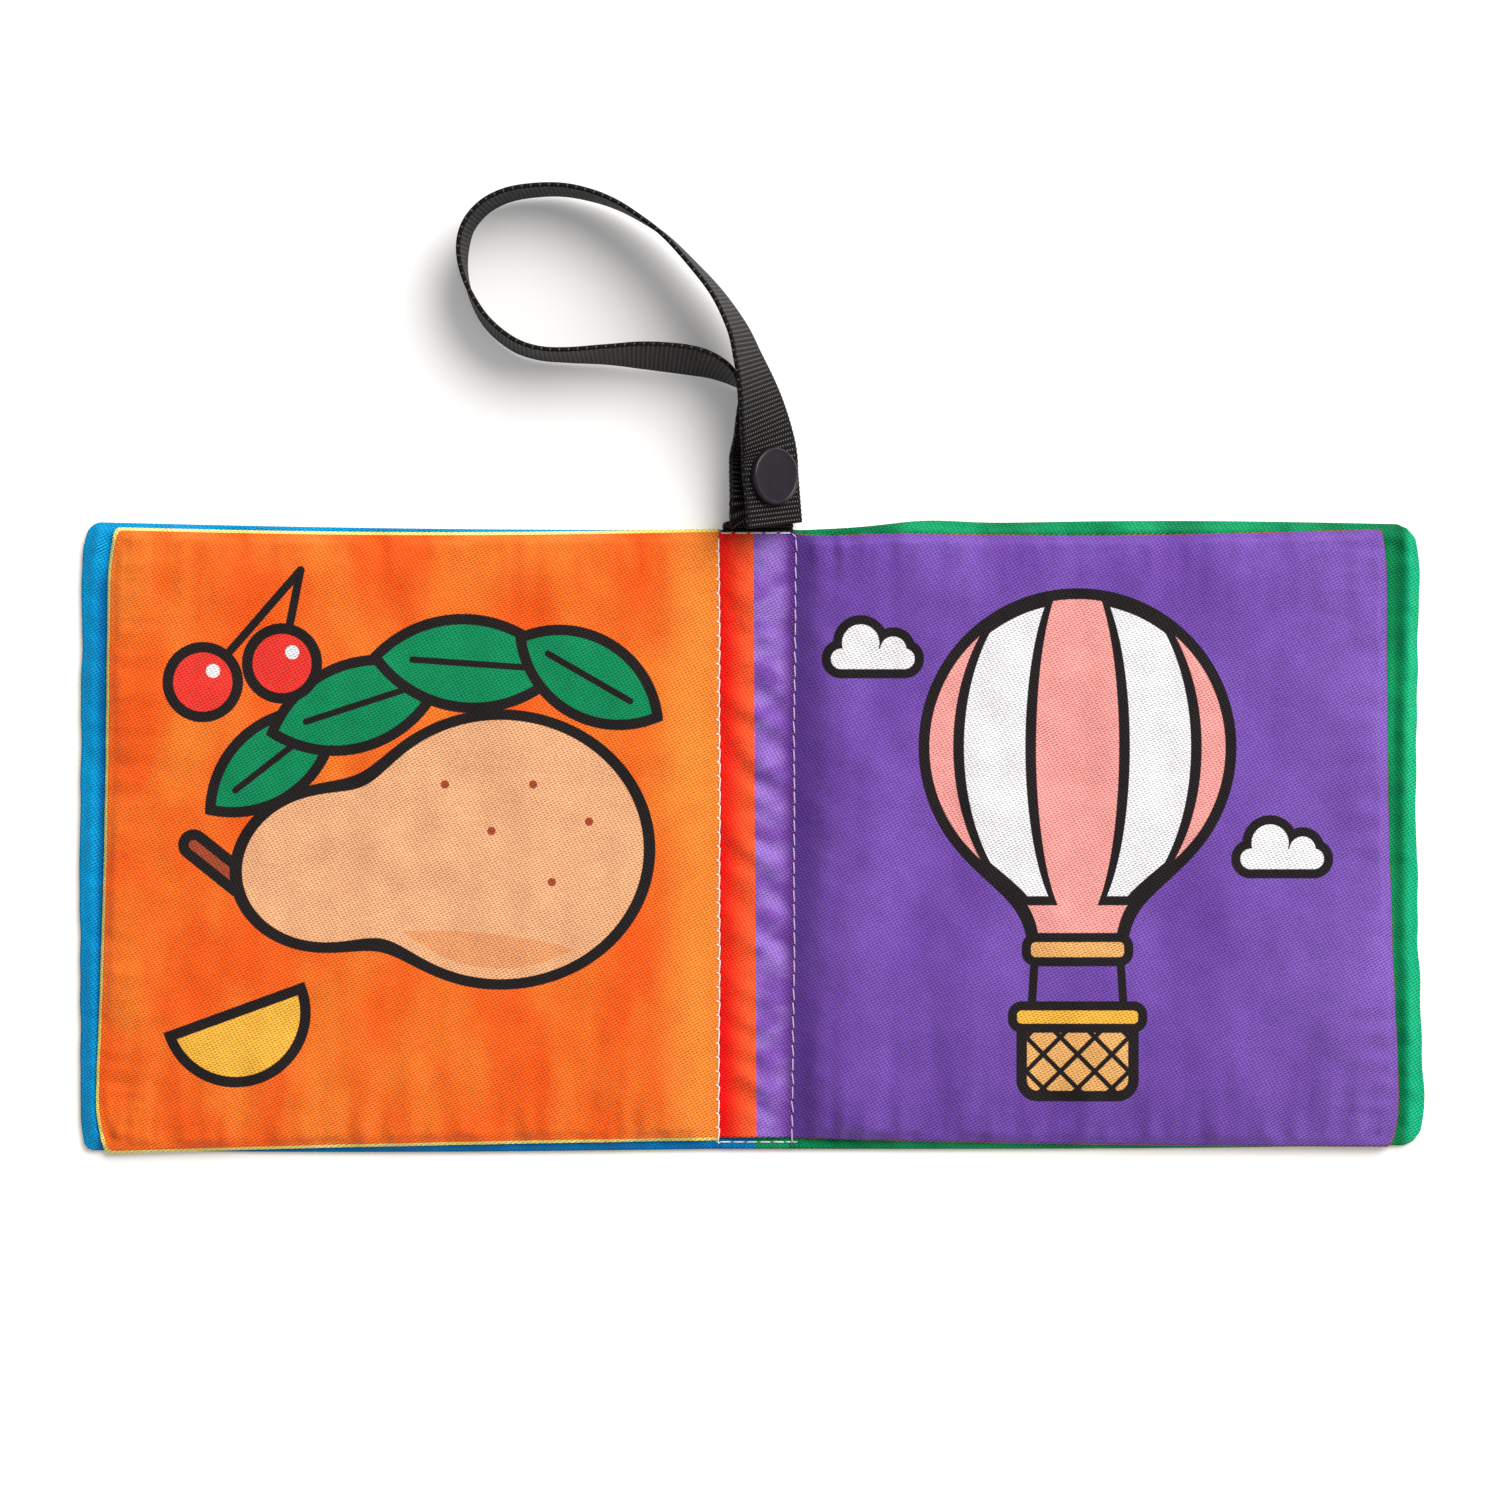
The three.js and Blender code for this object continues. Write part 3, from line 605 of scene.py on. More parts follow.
def pucker(leaf, x, y):
    # Small gathers run in from the turned seams and fade within a centimetre or two, and broad
    # soft dents cross the whole leaf
    across, fore, top, bottom = leafDistances(leaf, x, y)
    seed = leaf["seed"]
    total = 0.0
    for distance, along, reach in (
            (top, x, gathers["topReach"]), (bottom, x, gathers["bottomReach"]), (fore, y, gathers["foreReach"])):
        fade = math.exp(-max(distance, 0.0) / reach) * smooth(distance / 3)
        wavy = waver(along / 3.6, distance / 22, seed) + 0.35 * waver(along / 1.9, distance / 12, seed + 4)
        total += gathers["seamDepth"] * fade * wavy
    fade = math.exp(-max(across, 0.0) / gathers["rowReach"])
    total += gathers["rowDepth"] * fade * waver((y + 0.5 * across) / 3.4, across / 14, seed + 9)
    total += gathers["dentDepth"] * waver(x / 15, y / 21, seed)
    total += gathers["smallDentDepth"] * waver(x / 6.5, y / 9, seed + 2)
    return total


def hem(edge):
    # The seam allowance inside makes a soft ridge along a turned edge
    return math.exp(-((edge - hemRidge["place"]) / hemRidge["width"]) ** 2)


def seamDip(across):
    # The stitching pulls all the cloths down on both sides of a row
    return math.exp(-max(across, 0.0) / 4.2)


def called(name):
    # Names the newest piece and its mesh
    piece = bpy.context.object
    piece.name = name
    piece.data.name = name
    return piece


def gridPiece(name, columns, rows):
    pick()
    bpy.ops.mesh.primitive_grid_add(x_subdivisions=columns, y_subdivisions=rows, size=2)
    piece = called(name)
    shares = [((vertex.co.x + 1) / 2, (vertex.co.y + 1) / 2) for vertex in piece.data.vertices]
    return piece, shares


def editMesh(piece, *steps):
    # Runs edit-mode steps on the whole of a piece
    pick(piece)
    bpy.ops.object.mode_set(mode="EDIT")
    bpy.ops.mesh.select_all(action="SELECT")
    for step in steps:
        step()
    bpy.ops.object.mode_set(mode="OBJECT")


def twoCloths(piece, shares, facePlace, backPlace, lowHeight, highHeight, facePaint, backPaint, mirrored):
    # Turns a grid into a closed pair of cloths. Solidify adds the second cloth and the turned
    # edge, and the flat places of the cloth are kept as its map.
    if mirrored:
        editMesh(piece, bpy.ops.mesh.flip_normals)
    count = len(shares)
    thick = piece.modifiers.new("layers", "SOLIDIFY")
    thick.thickness = 0.01
    thick.offset = -1
    bpy.ops.object.modifier_apply(modifier="layers")
    face = [facePlace(*share) for share in shares]
    back = [backPlace(*share) for share in shares]
    for index, vertex in enumerate(piece.data.vertices):
        if index < count:
            x, y = face[index]
            vertex.co = (x * mm, y * mm, highHeight(x, y) * mm)
        else:
            x, y = back[index - count]
            vertex.co = (x * mm, y * mm, lowHeight(x, y) * mm)
    mapping = piece.data.uv_layers[0]
    mapping.name = "cloth"
    for loop in piece.data.loops:
        index = loop.vertex_index
        x, y = face[index] if index < count else back[index - count]
        mapping.data[loop.index].uv = (x / 100, y / 100)
    for paint in (facePaint, backPaint):
        piece.data.materials.append(materials[paint])
    for polygon in piece.data.polygons:
        onFace = all(index < count for index in polygon.vertices)
        polygon.material_index = 0 if onFace else 1
    pick(piece)
    bpy.ops.object.shade_smooth_by_angle(angle=math.radians(100))
    return piece


def buildLeaf(name, leaf, lowHeight, highHeight, facePaint, backPaint, start):
    piece, shares = gridPiece(name, leafGrid, leafGrid)

    def crowd(share):
        return share - math.sin(2 * math.pi * share) / (2 * math.pi) * edgeCrowding

    def placeWith(margin):
        def place(acrossShare, upShare):
            across, up = crowd(acrossShare), crowd(upShare)
            low, high = bottomEdge(leaf, across) - margin, topEdge(leaf, across) + margin
            y = lerp(low, high, up)
            first = leaf["side"] * rowX(leaf["side"], y) - spine["foldX"] + start
            reach = foreEdge(leaf, up) + margin
            out = lerp(first, reach, across)
            nearFore = clamp(1 - (reach - out) / leaf["corner"])
            nearEnd = clamp(1 - min(y - low, high - y) / leaf["corner"])
            drawIn = leaf["corner"] * (1 - math.sqrt(0.5)) * nearFore * nearEnd
            return leaf["side"] * (spine["foldX"] + out - drawIn), y - math.copysign(drawIn, y)
        return place

    return twoCloths(
        piece, shares, placeWith(0), placeWith(leaf["backMargin"]), lowHeight, highHeight, facePaint, backPaint,
        leaf["side"] < 0)


def coverTop(cover, x, y, hemHeight=hemRidge["height"]):
    across, fore, top, bottom = leafDistances(cover, x, y)
    flat = clothPitch + clothThickness
    edge = max(min(fore, top, bottom), 0)
    amount = (0.4 + 0.9 * math.exp(-edge / 7)) * smooth(edge / 2.5) * smooth(across / 6)
    ridge = hemHeight * hem(edge) * smooth((across - hemRidge["start"]) / hemRidge["growth"])
    return flat + leafRise(cover, x, y) + amount * pucker(cover, x, y) + ridge


def makeSide(pageName, coverName, pageNodes, coverNodes, paints):
    page, cover = leaves[pageName], leaves[coverName]
    side = page["side"]

    def underPage(x, y, hemHeight):
        across = leafDistances(page, x, y)[0]
        return clothPitch + coverTop(cover, x, y, hemHeight) - clothThickness - 0.1 * seamDip(across)

    def pageLow(x, y):
        # The back cloth's turned edge stands out flat beyond the face
        across, fore, top, bottom = leafDistances(page, x, y)
        inside = smooth((min(fore, top, bottom) + page["backMargin"]) / pageLoft["lipReach"])
        return underPage(x, y, hemRidge["height"]) + pageLoft["lip"] * (1 - inside) * smooth(across / 8)

    def pageHigh(x, y):
        across, fore, top, bottom = leafDistances(page, x, y)
        edge = smooth(min(fore, top, bottom) / pageLoft["riseReach"])
        body = underPage(x, y, 0.0) + pageLoft["edge"] + pageLoft["rise"] * edge + leafRise(page, x, y)
        body += pucker(page, x, y) * smooth(across / 5) * edge + pageLoft["billow"] * smooth(across / 12)
        body = max(body, underPage(x, y, hemRidge["height"]) + pageLoft["edge"])
        slope = clamp((across + 0.2) / page["rowSlope"])
        return lerp(spine["seamZ"], body, (1 - (1 - slope) ** 2.2) * smooth((across + 0.6) / 1.6))

    def coverLow(x, y):
        return 0.0

    def coverHigh(x, y):
        return coverTop(cover, x, y)

    pageLeaf = buildLeaf(f"{pageName}Leaf", page, pageLow, pageHigh, paints[0], paints[1], -0.1)
    coverLeaf = buildLeaf(f"{coverName}Leaf", cover, coverLow, coverHigh, paints[2], "cover", foldSpan["strip"])
    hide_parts(*pageNodes)
    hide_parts(*coverNodes)
    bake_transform(pageLeaf)
    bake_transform(coverLeaf)

    # The strip of cover cloth that wraps the spine's edge when a leaf turns
    strip, shares = gridPiece(f"{coverName}Fold", 12, leafGrid)

    def place(acrossShare, upShare):
        y = lerp(bottomEdge(cover, 0), topEdge(cover, 0), upShare)
        return side * (side * rowX(side, y) + lerp(-0.5, 1.45, acrossShare)), y

    def stripLow(x, y):
        return threadRoom * (1 - smooth(abs(x - rowX(side, y)) / 1.2))

    twoCloths(strip, shares, place, place, stripLow, coverHigh, paints[2], "cover", side < 0)
    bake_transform(strip)


makeSide(
    "leftPage", "frontCover", ("left_page_face", "left_page_back"),
    ("front_cover_inner", "front_cover_outer"), ("orange", "yellow", "blue"))
makeSide(
    "rightPage", "backCover", ("right_page_face", "right_page_back"),
    ("back_cover_inner", "back_cover_outer"), ("purple", "brown", "green"))
print("leaves")


# Spine band: the page cloths rise over the strap's tail, and all dip at the rows of stitching
band = {
    "low": 1.22, "lowRise": 0.72, "bulge": 0.85, "bulgePower": 2.3, "least": 0.3, "wrinkle": 1.5, "fineWrinkle": 0.25,
    "topFade": 7.0, "bottomFade": 2.0,
}


def tailLift(y):
    return smooth((y - (spine["tailEnd"] - 4.3)) / 4)


def bandLow(x, y):
    return band["low"] + band["lowRise"] * tailLift(y) * smooth((fromRows(x, y) + 0.1) / 0.9)


def bandHigh(x, y):
    edge = clamp(fromRows(x, y) / 8.1)
    bulge = 1 - (1 - edge) ** band["bulgePower"]
    height = spine["seamZ"] + (band["bulge"] + spine["tailLift"] * tailLift(y)) * bulge
    wrinkle = band["wrinkle"] * waver(x / 12, (y + 0.5 * x) / 5, 31)
    wrinkle += band["fineWrinkle"] * waver(x / 6, (y - 0.4 * x) / 2.6, 37)
    ends = smooth((spine["top"] - y) / band["topFade"]) * smooth((y + spine["bottom"]) / band["bottomFade"])
    return max(height + wrinkle * bulge * ends, bandLow(x, y) + band["least"])


def makeBand():
    def placeWith(bottom, top, margin):
        def place(acrossShare, upShare):
            y = lerp(-bottom, top, upShare)
            return lerp(rowX(-1, y) + margin, rowX(1, y) - margin, acrossShare), y
        return place

    pagePlace = placeWith(spine["bottom"], spine["top"], 0.1)
    pageBand, shares = gridPiece("spinePageCloth", 32, 260)
    twoCloths(pageBand, shares, pagePlace, pagePlace, bandLow, bandHigh, "band", "yellow", False)
    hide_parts("spine_page_face", "spine_page_back")

    def coverLow(x, y):
        return threadRoom * (1 - smooth(fromRows(x, y) / 1.4))

    def coverHigh(x, y):
        return clothPitch + clothThickness - 0.03

    coverPlace = placeWith(spine["coverBottom"], spine["coverTop"], 0.5)
    coverBand, shares = gridPiece("spineCoverCloth", 32, 200)
    twoCloths(coverBand, shares, coverPlace, coverPlace, coverLow, coverHigh, "coverInside", "coverBand", False)
    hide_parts("spine_cover_inner", "spine_cover_outer")
    for piece, height in ((pageBand, flatHeights["pageBand"]), (coverBand, flatHeights["coverBand"])):
        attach(piece, "spine")


makeBand()
print("spine band")


# Stitches, each modelled as one arched length of thread
stitch = {
    "length": 3.0, "visible": 2.95, "radius": 0.17, "sink": 0.24, "barb": 1.1, "corner": 1.0, "cross": 2.9,
    "under": 0.25,
}


def threadMaterial():
    nodes = Nodes("sewingThread")
    place = nodes.add("ShaderNodeTexCoord").outputs["Object"]
    twist = nodes.add("ShaderNodeTexWave", wave_type="BANDS", bands_direction="DIAGONAL")
    twist.inputs["Scale"].default_value = 1500
    twist.inputs["Distortion"].default_value = 1.5
    nodes.link(place, twist.inputs["Vector"])
    fuzz = nodes.noise(place, 2500, 2, 0.6)
    shade = nodes.timesPlus(fuzz, 0.3, 0.35)
    # Painted shade dims the right row, which lies in the valley beside the purple page, and tints it lilac
    parts = nodes.add("ShaderNodeSeparateXYZ")
    nodes.link(place, parts.inputs[0])
    paintedRowShade = nodes.times(nodes.ramp(parts.outputs[0], 0.0068, 0.0076), 0.8)
    thread = nodes.mix(shade, colour("dcd6cf"), colour("fbf9f6"))
    nodes.surface("Base Color", nodes.mix(paintedRowShade, thread, colour("a195b4")))
    nodes.surface("Normal", nodes.bump(twist.outputs[0], 0.00008, 0.7))
    nodes.surface("Roughness", nodes.timesPlus(fuzz, 0.2, 0.55))
    nodes.surface("Sheen Weight", 0.2)
    return nodes.material


materials["thread"] = threadMaterial()


def makeStitch(name, length):
    # A thin rod along +Y, arched up in the middle with its ends going down into the cloth
    pick()
    bpy.ops.mesh.primitive_cylinder_add(vertices=8, radius=stitch["radius"] * mm, depth=2, rotation=(math.pi / 2, 0, 0))
    rod = bpy.context.object
    rod.name = name
    bpy.ops.object.transform_apply(location=False, rotation=True, scale=True)
    for cut in range(1, 10):
        editMesh(rod, lambda: bpy.ops.mesh.bisect(plane_co=(0, cut / 5 - 1, 0), plane_no=(0, 1, 0)))
    for vertex in rod.data.vertices:
        share = vertex.co.y
        taper = 1 - 0.45 * abs(share) ** 4
        drop = stitch["sink"] * abs(share) ** 3.2
        vertex.co = (vertex.co.x * taper, share * length / 2 * mm, vertex.co.z * taper - drop * mm)
    bpy.ops.object.shade_smooth()
    return rod


def sew(name, places, body, node, underside=False):
    # Places are (x, y, z, angle in degrees, length) in millimetres
    model = makeStitch("stitchModel", 1.0)
    copies = []
    for x, y, z, degrees, length in places:
        copied = model.copy()
        copied.data = model.data.copy()
        bpy.context.collection.objects.link(copied)
        turn = Matrix.Rotation(math.radians(degrees), 4, "Z")
        stretch = Matrix.Diagonal((1, length, -1 if underside else 1, 1))
        copied.data.transform(Matrix.Translation((x * mm, y * mm, z * mm)) @ turn @ stretch)
        copies.append(copied)
    pick(*copies)
    bpy.ops.object.join()
    seam = called(name)
    if underside:
        editMesh(seam, bpy.ops.mesh.flip_normals)
    seam.data.materials.append(materials["thread"])
    bpy.data.objects.remove(model)
    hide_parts(node)
    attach(seam, body)
    return seam


def seamPlaces(heightAt):
    # Down both rows, across the bottom and the top
    places = []
    rowTop = spine["stitchTop"] - stitch["corner"]
    count = round((rowTop - spine["stitchBottom"]) / stitch["length"])
    pitch = (rowTop - spine["stitchBottom"]) / count
    for side in (-1, 1):
        for index in range(count):
            y = rowTop - pitch * (index + 0.5)
            x = rowX(side, y)
            lean = 8 * waver(y, side, 41) + (4 if side > 0 else -4)
            places.append((x, y, heightAt(x, y), lean, stitch["visible"]))
            # Where two stitches meet, the other thread is pulled up into a short slanted loop
            knotY = y - pitch / 2
            if side < 0:
                knotX = rowX(side, knotY) - 0.25
                slant = 55 + 40 * waver(knotY, side, 45)
                places.append((knotX, knotY, heightAt(knotX, knotY) - 0.02, slant, stitch["barb"]))
    corner = stitch["corner"]
    cornerX, cornerY = rowX(1, 66) - corner / 2, spine["stitchTop"] - corner / 2
    places.append((cornerX, cornerY, heightAt(cornerX, cornerY), 45, corner * math.sqrt(2)))
    for y, low, high in ((spine["stitchTop"], rowX(-1, 66) + 0.4, rowX(1, 66) - corner),
                         (spine["stitchBottom"], rowX(-1, -65), rowX(1, -65) + 1.4)):
        steps = round((high - low) / stitch["cross"])
        for index in range(steps):
            x = low + (index + 0.5) * (high - low) / steps
            places.append((x, y, heightAt(x, y), 90 + 5 * waver(x, y, 43), (high - low) / steps - 0.35))
    return places


def overCloth(x, y):
    if y > -spine["bottom"] - 0.5:
        lift = 0.1 + (0.08 if fromRows(x, y) > 0.6 else 0)
        return max(bandHigh(x, min(y, spine["top"])), spine["seamZ"]) + lift
    return clothPitch + clothThickness + 0.12


sew("needleStitches", seamPlaces(overCloth), "spine", "needle_thread")
sew("bobbinStitches", seamPlaces(lambda x, y: stitch["under"]), "spine", "bobbin_thread", underside=True)
print("stitches")


# Strap webbing. Its route outside the book is the drawing's: x, y, z and the tilt in degrees.
strap = {
    "width": 15.0, "thickness": 0.9, "tailShift": 0.3, "tailLength": 18.0, "tailOut": 0.3, "tailZ": 1.45,
    "tailSteps": 74, "endStretches": 8, "hingeSteps": 7, "bendZ": 4.3, "bendSpan": (65.6, 69.6),
    "snapCentre": (0.1, 78.1, 5.5),
    "snapDirection": (-0.08, 1, 0.08), "snapTilt": 40, "snapTwist": -6, "snapFlat": 5.6, "freeEnd": 10.6,
    "layersApart": 4.55, "rowPitch": 0.98, "columnPitch": 0.7, "dotSize": 0.34, "edgeInset": 0.35, "edgeRound": 0.1,
    "tooth": 0.16,
}
loopStops = [
    (-0.5, 90, 7.6, 55), (-2.2, 95, 8.1, 76), (-5.2, 99.1, 8.2, 97), (-9.4, 101.7, 8.4, 106),
    (-15, 103.1, 8.6, 110), (-23.8, 104, 8.8, 108), (-32, 104.2, 8.8, 101.5), (-40.7, 104.1, 8.6, 97),
    (-47, 104.6, 8.4, 96), (-52.4, 106.6, 8.2, 96), (-57.6, 110.9, 8, 95), (-61, 116.4, 7.9, 92),
    (-62.8, 122, 7.9, 88), (-63.05, 127.3, 8, 84.5), (-61.8, 131.9, 8.1, 84), (-58.5, 135.8, 8.3, 84),
    (-53.8, 138.3, 8.6, 84.5), (-48, 139.4, 8.9, 85), (-41.5, 139.5, 9.3, 85.5), (-35.4, 138.3, 9.8, 86.5),
    (-30, 136.3, 10.3, 88.5), (-24.8, 133.3, 10.9, 91), (-19.5, 129.4, 11.5, 93),
    (-13.6, 123.3, 12.1, 95.5), (-8.2, 116.8, 12.5, 99), (-4, 109.5, 12.7, 105.5),
    (-1.8, 103.2, 12.7, 112.5), (0, 97.2, 12.3, 121), (1.2, 91.6, 11.4, 130),
]


def strapFrame(along, tilt):
    left = Vector((-along.y, along.x, 0)).normalized()
    up = along.cross(left)
    across = left * math.cos(tilt) + up * math.sin(tilt)
    return across, along.cross(across)


snapAlong = Vector(strap["snapDirection"]).normalized()
snapFace = strapFrame(snapAlong, math.radians(strap["snapTilt"]))[1]
baseAlong = Matrix.Rotation(math.radians(strap["snapTwist"]), 3, snapFace) @ snapAlong
baseLeft, baseUp = strapFrame(baseAlong, 0)
baseTilt = math.degrees(math.atan2(-snapFace.dot(baseLeft), snapFace.dot(baseUp)))
studCentre = Vector(strap["snapCentre"])
endCentre = studCentre + snapFace * strap["layersApart"]


def strapRoute():
    # It leaves the spine flat and twists up to the stud, and its free end comes back above it
    edgeY, edgeZ = spine["top"], strap["tailZ"]
    away, height = studCentre.y - edgeY, studCentre.z
    stops = [(strap["tailShift"], edgeY + strap["tailOut"], edgeZ, 0)]
    for way, rise, twist in ((0.15, 0.08, 0.2), (0.34, 0.53, 0.6)):
        stops.append((strap["tailShift"], edgeY + way * away, lerp(edgeZ, height, rise), twist * baseTilt))
    for distance in (-strap["snapFlat"], 0, strap["snapFlat"]):
        stops.append((*(studCentre + baseAlong * distance), baseTilt))
    stops += loopStops
    for distance in (strap["snapFlat"], 0, -strap["snapFlat"], -strap["freeEnd"]):
        stops.append((*(endCentre + snapAlong * distance), 180 - strap["snapTilt"]))
    return stops


def onCurve(stops, share):
    # The same curve through the stops as the drawing's
    place = share * (len(stops) - 1)
    index = min(int(place), len(stops) - 2)
    t = place - index
    one, two = stops[index], stops[index + 1]
    zero = stops[index - 1] if index else tuple(2 * a - b for a, b in zip(one, two))
    three = stops[index + 2] if index + 2 < len(stops) else tuple(2 * b - a for a, b in zip(one, two))
    result = []
    for before, a, b, after in zip(zero, one, two, three):
        startSlope, endSlope = (b - before) / 2, (after - a) / 2
        result.append(
            a + startSlope * t + (-3 * a + 3 * b - 2 * startSlope - endSlope) * t * t
            + (2 * a - 2 * b + startSlope + endSlope) * t ** 3)
    return result


def strapPlaces(firstShare, lastShare, spacing):
    # Evenly spaced places along a stretch of the strap, each with its width and face directions
    stops = strapRoute()
    fine = [lerp(firstShare, lastShare, index / 1600) for index in range(1601)]
    points = [Vector(onCurve(stops, share)[:3]) for share in fine]
    walked = [0.0]
    for first, second in zip(points, points[1:]):
        walked.append(walked[-1] + (second - first).length)
    steps = round(walked[-1] / spacing)
    places, index = [], 0
    for step in range(steps + 1):
        goal = walked[-1] * step / steps
        while index < len(walked) - 2 and walked[index + 1] < goal:
            index += 1
        part = clamp((goal - walked[index]) / (walked[index + 1] - walked[index]))
        share = lerp(fine[index], fine[index + 1], part)
        here = onCurve(stops, share)
        before, after = onCurve(stops, max(share - 1e-4, 0)), onCurve(stops, min(share + 1e-4, 1))
        along = (Vector(after[:3]) - Vector(before[:3])).normalized()
        across, face = strapFrame(along, math.radians(here[3]))
        places.append((Vector(here[:3]), across, face, goal))
    return places


def webbingMaterial():
    nodes = Nodes("blackWebbing")
    parts = nodes.add("ShaderNodeSeparateXYZ")
    nodes.link(nodes.add("ShaderNodeUVMap", uv_map="cloth"), parts.inputs[0])
    along, across = (nodes.times(part, 100.0) for part in parts.outputs[:2])
    # Each warp thread shows as a short slanted oval, and every second row is half a thread aside
    rows = nodes.over(along, strap["rowPitch"])
    rowPlace = nodes.minus(nodes.math("FRACT", rows), 0.5)
    odd = nodes.math("FRACT", nodes.times(nodes.math("FLOOR", rows), 0.5))
    columns = nodes.plus(nodes.over(across, strap["columnPitch"]), odd)
    columns = nodes.timesPlus(rowPlace, 0.35, columns)
    columnPlace = nodes.minus(nodes.math("FRACT", columns), 0.5)
    wide, high = (nodes.over(part, strap["dotSize"]) for part in (columnPlace, rowPlace))
    reach = nodes.math("SQRT", nodes.timesPlus(wide, wide, nodes.times(high, high)))
    dots = nodes.fall(reach, 0.0, 0.8)
    edge = nodes.ramp(nodes.size(across), 6.5, 7.0)
    dots = nodes.times(dots, nodes.timesPlus(edge, -0.7, 1.0))
    fuzz = nodes.noise(parts.inputs[0].links[0].from_socket, 400, 3, 0.6)
    bright = nodes.times(dots, nodes.timesPlus(fuzz, 0.8, 0.6))
    nodes.surface("Base Color", nodes.mix(bright, colour("030202"), colour("9a9591")))
    nodes.surface("Normal", nodes.bump(dots, 0.0002, 1.0))
    nodes.surface("Roughness", nodes.timesPlus(fuzz, 0.2, 0.5))
    nodes.surface("Specular IOR Level", 0.15)
    return nodes.material


materials["webbing"] = webbingMaterial()


def webbingPiece(name, places, startLength):
    # A grid is rolled into the flat tube of the strap, closed along its side and at both ends.
    # Each turn of the weft stands out a little at the two selvages.
    half, thick = strap["width"] / 2, strap["thickness"] / 2
    flat, rounded = half - strap["edgeInset"], half - strap["edgeRound"]
    outline = [(lerp(-flat, flat, index / 18), thick) for index in range(19)]  # half of the strap's section
    outline += [(rounded, thick * 0.8), (half, 0), (rounded, -thick * 0.8)]
    outline += [(-x, -z) for x, z in outline]
    around = len(outline)
    piece, shares = gridPiece(name, len(places) - 1, around)
    mapping = piece.data.uv_layers[0]
    mapping.name = "cloth"
    lastPlace = len(places) - 1
    flatPlaces = []
    for vertex, (alongShare, aroundShare) in zip(piece.data.vertices, shares):
        index, corner = round(alongShare * lastPlace), round(aroundShare * around)
        point, across, face, goal = places[index]
        x, z = outline[corner % around]
        tooth = strap["tooth"] * (math.cos(2 * math.pi * (startLength + goal) / strap["rowPitch"]) - 0.5)
        x += math.copysign(tooth, x) * smooth((abs(x) - 6.8) / 0.7)
        crownHeight = 1 + 0.12 * smooth((abs(x) - 6.2) / 0.8)
        vertex.co = (point + across * x + face * z * crownHeight) * mm
        flatPlaces.append((startLength + goal, x))
    for loop in piece.data.loops:
        length, x = flatPlaces[loop.vertex_index]
        mapping.data[loop.index].uv = (length / 100, x / 100)
    editMesh(
        piece, lambda: bpy.ops.mesh.remove_doubles(threshold=1e-6), lambda: bpy.ops.mesh.fill_holes(sides=0),
        lambda: bpy.ops.mesh.normals_make_consistent(inside=False))
    piece.data.materials.append(materials["webbing"])
    bpy.ops.object.shade_smooth_by_angle(angle=math.radians(60))
    return piece


def makeStrap():
    spacing = strap["rowPitch"] / 4
    total = len(strapRoute()) - 1
    splitShare = (total - strap["endStretches"]) / total
    tailLength = strap["tailLength"] + strap["tailOut"]
    tail = []
    for index in range(strap["tailSteps"]):
        goal = tailLength * index / strap["tailSteps"]
        point = Vector((strap["tailShift"], spine["tailEnd"] + goal, strap["tailZ"]))
        tail.append((point, Vector((-1, 0, 0)), Vector((0, 0, 1)), goal))
    loop = [(*place[:3], place[3] + tailLength) for place in strapPlaces(0, splitShare, spacing)]
    loopPiece = webbingPiece("strapLoop", tail + loop, 0)
    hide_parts("strap_tail", "strap_loop")
    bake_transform(loopPiece)
    startLength = loop[-1][3]
    end = strapPlaces(splitShare, 1, spacing)
    endPiece = webbingPiece("strapFreeEnd", end, startLength)
    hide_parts("strap_end_flap")
    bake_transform(endPiece)


makeStrap()
print("strap")


# Plastic snap: a cap and a socket on the free end, a stud and a cap on the strap's base. Each is
# made upright about the strap's middle, in millimetres, and then stood on the strap.
snap = {
    "capRadius": 6.2, "capBrim": 0.47, "capTop": 2.15, "postRadius": 1.1, "headRadius": 1.7, "headHeight": 0.3,
    "ringRadius": 5.3, "boreRadius": 2.5, "holeRadius": 1.35, "seat": 0.5, "socketEnd": 2.8, "webEnd": 1.2,
    "plateEnd": 1.5, "bossRadius": 2.25, "bossEnd": 2.55, "bossWall": 0.4, "segments": 64, "capRound": 0.5,
    "edgeRound": 0.3, "capPost": 1.45, "underPost": 1.62,
    "dish": ((0.16, 0.02), (0.14, -0.1), (0.12, -0.01), (2.2, 0.05)),  # each ring's width and rise, from the rim inwards
}


def plasticMaterial():
    nodes = Nodes("snapPlastic")
    place = nodes.add("ShaderNodeTexCoord").outputs["Object"]
    grain = nodes.noise(place, 1800, 3, 0.6)
    scuffs = nodes.noise(place, 300, 4, 0.7)
    nodes.surface("Base Color", nodes.mix(scuffs, colour("151318"), colour("1e1b21")))
    nodes.surface("Roughness", nodes.timesPlus(scuffs, 0.16, 0.22))
    nodes.surface("Normal", nodes.bump(grain, 0.00002, 0.5))
    nodes.surface("Specular IOR Level", 0.32)
    return nodes.material


materials["plastic"] = plasticMaterial()


def workOn(piece, test, *steps):
    # Runs edit-mode steps on the faces that pass a test
    pick(piece)
    bpy.ops.object.mode_set(mode="EDIT")
    bpy.ops.mesh.select_mode(type="FACE")
    bpy.ops.mesh.select_all(action="DESELECT")
    bpy.ops.object.mode_set(mode="OBJECT")
    for polygon in piece.data.polygons:
        polygon.select = test(polygon)
    bpy.ops.object.mode_set(mode="EDIT")
    for step in steps:
        step()
    bpy.ops.object.mode_set(mode="OBJECT")


def inset(amount):
    return lambda: bpy.ops.mesh.inset(thickness=amount * mm)


def raiseBy(amount):
    return lambda: bpy.ops.mesh.extrude_region_move(TRANSFORM_OT_translate={"value": (0, 0, amount * mm)})


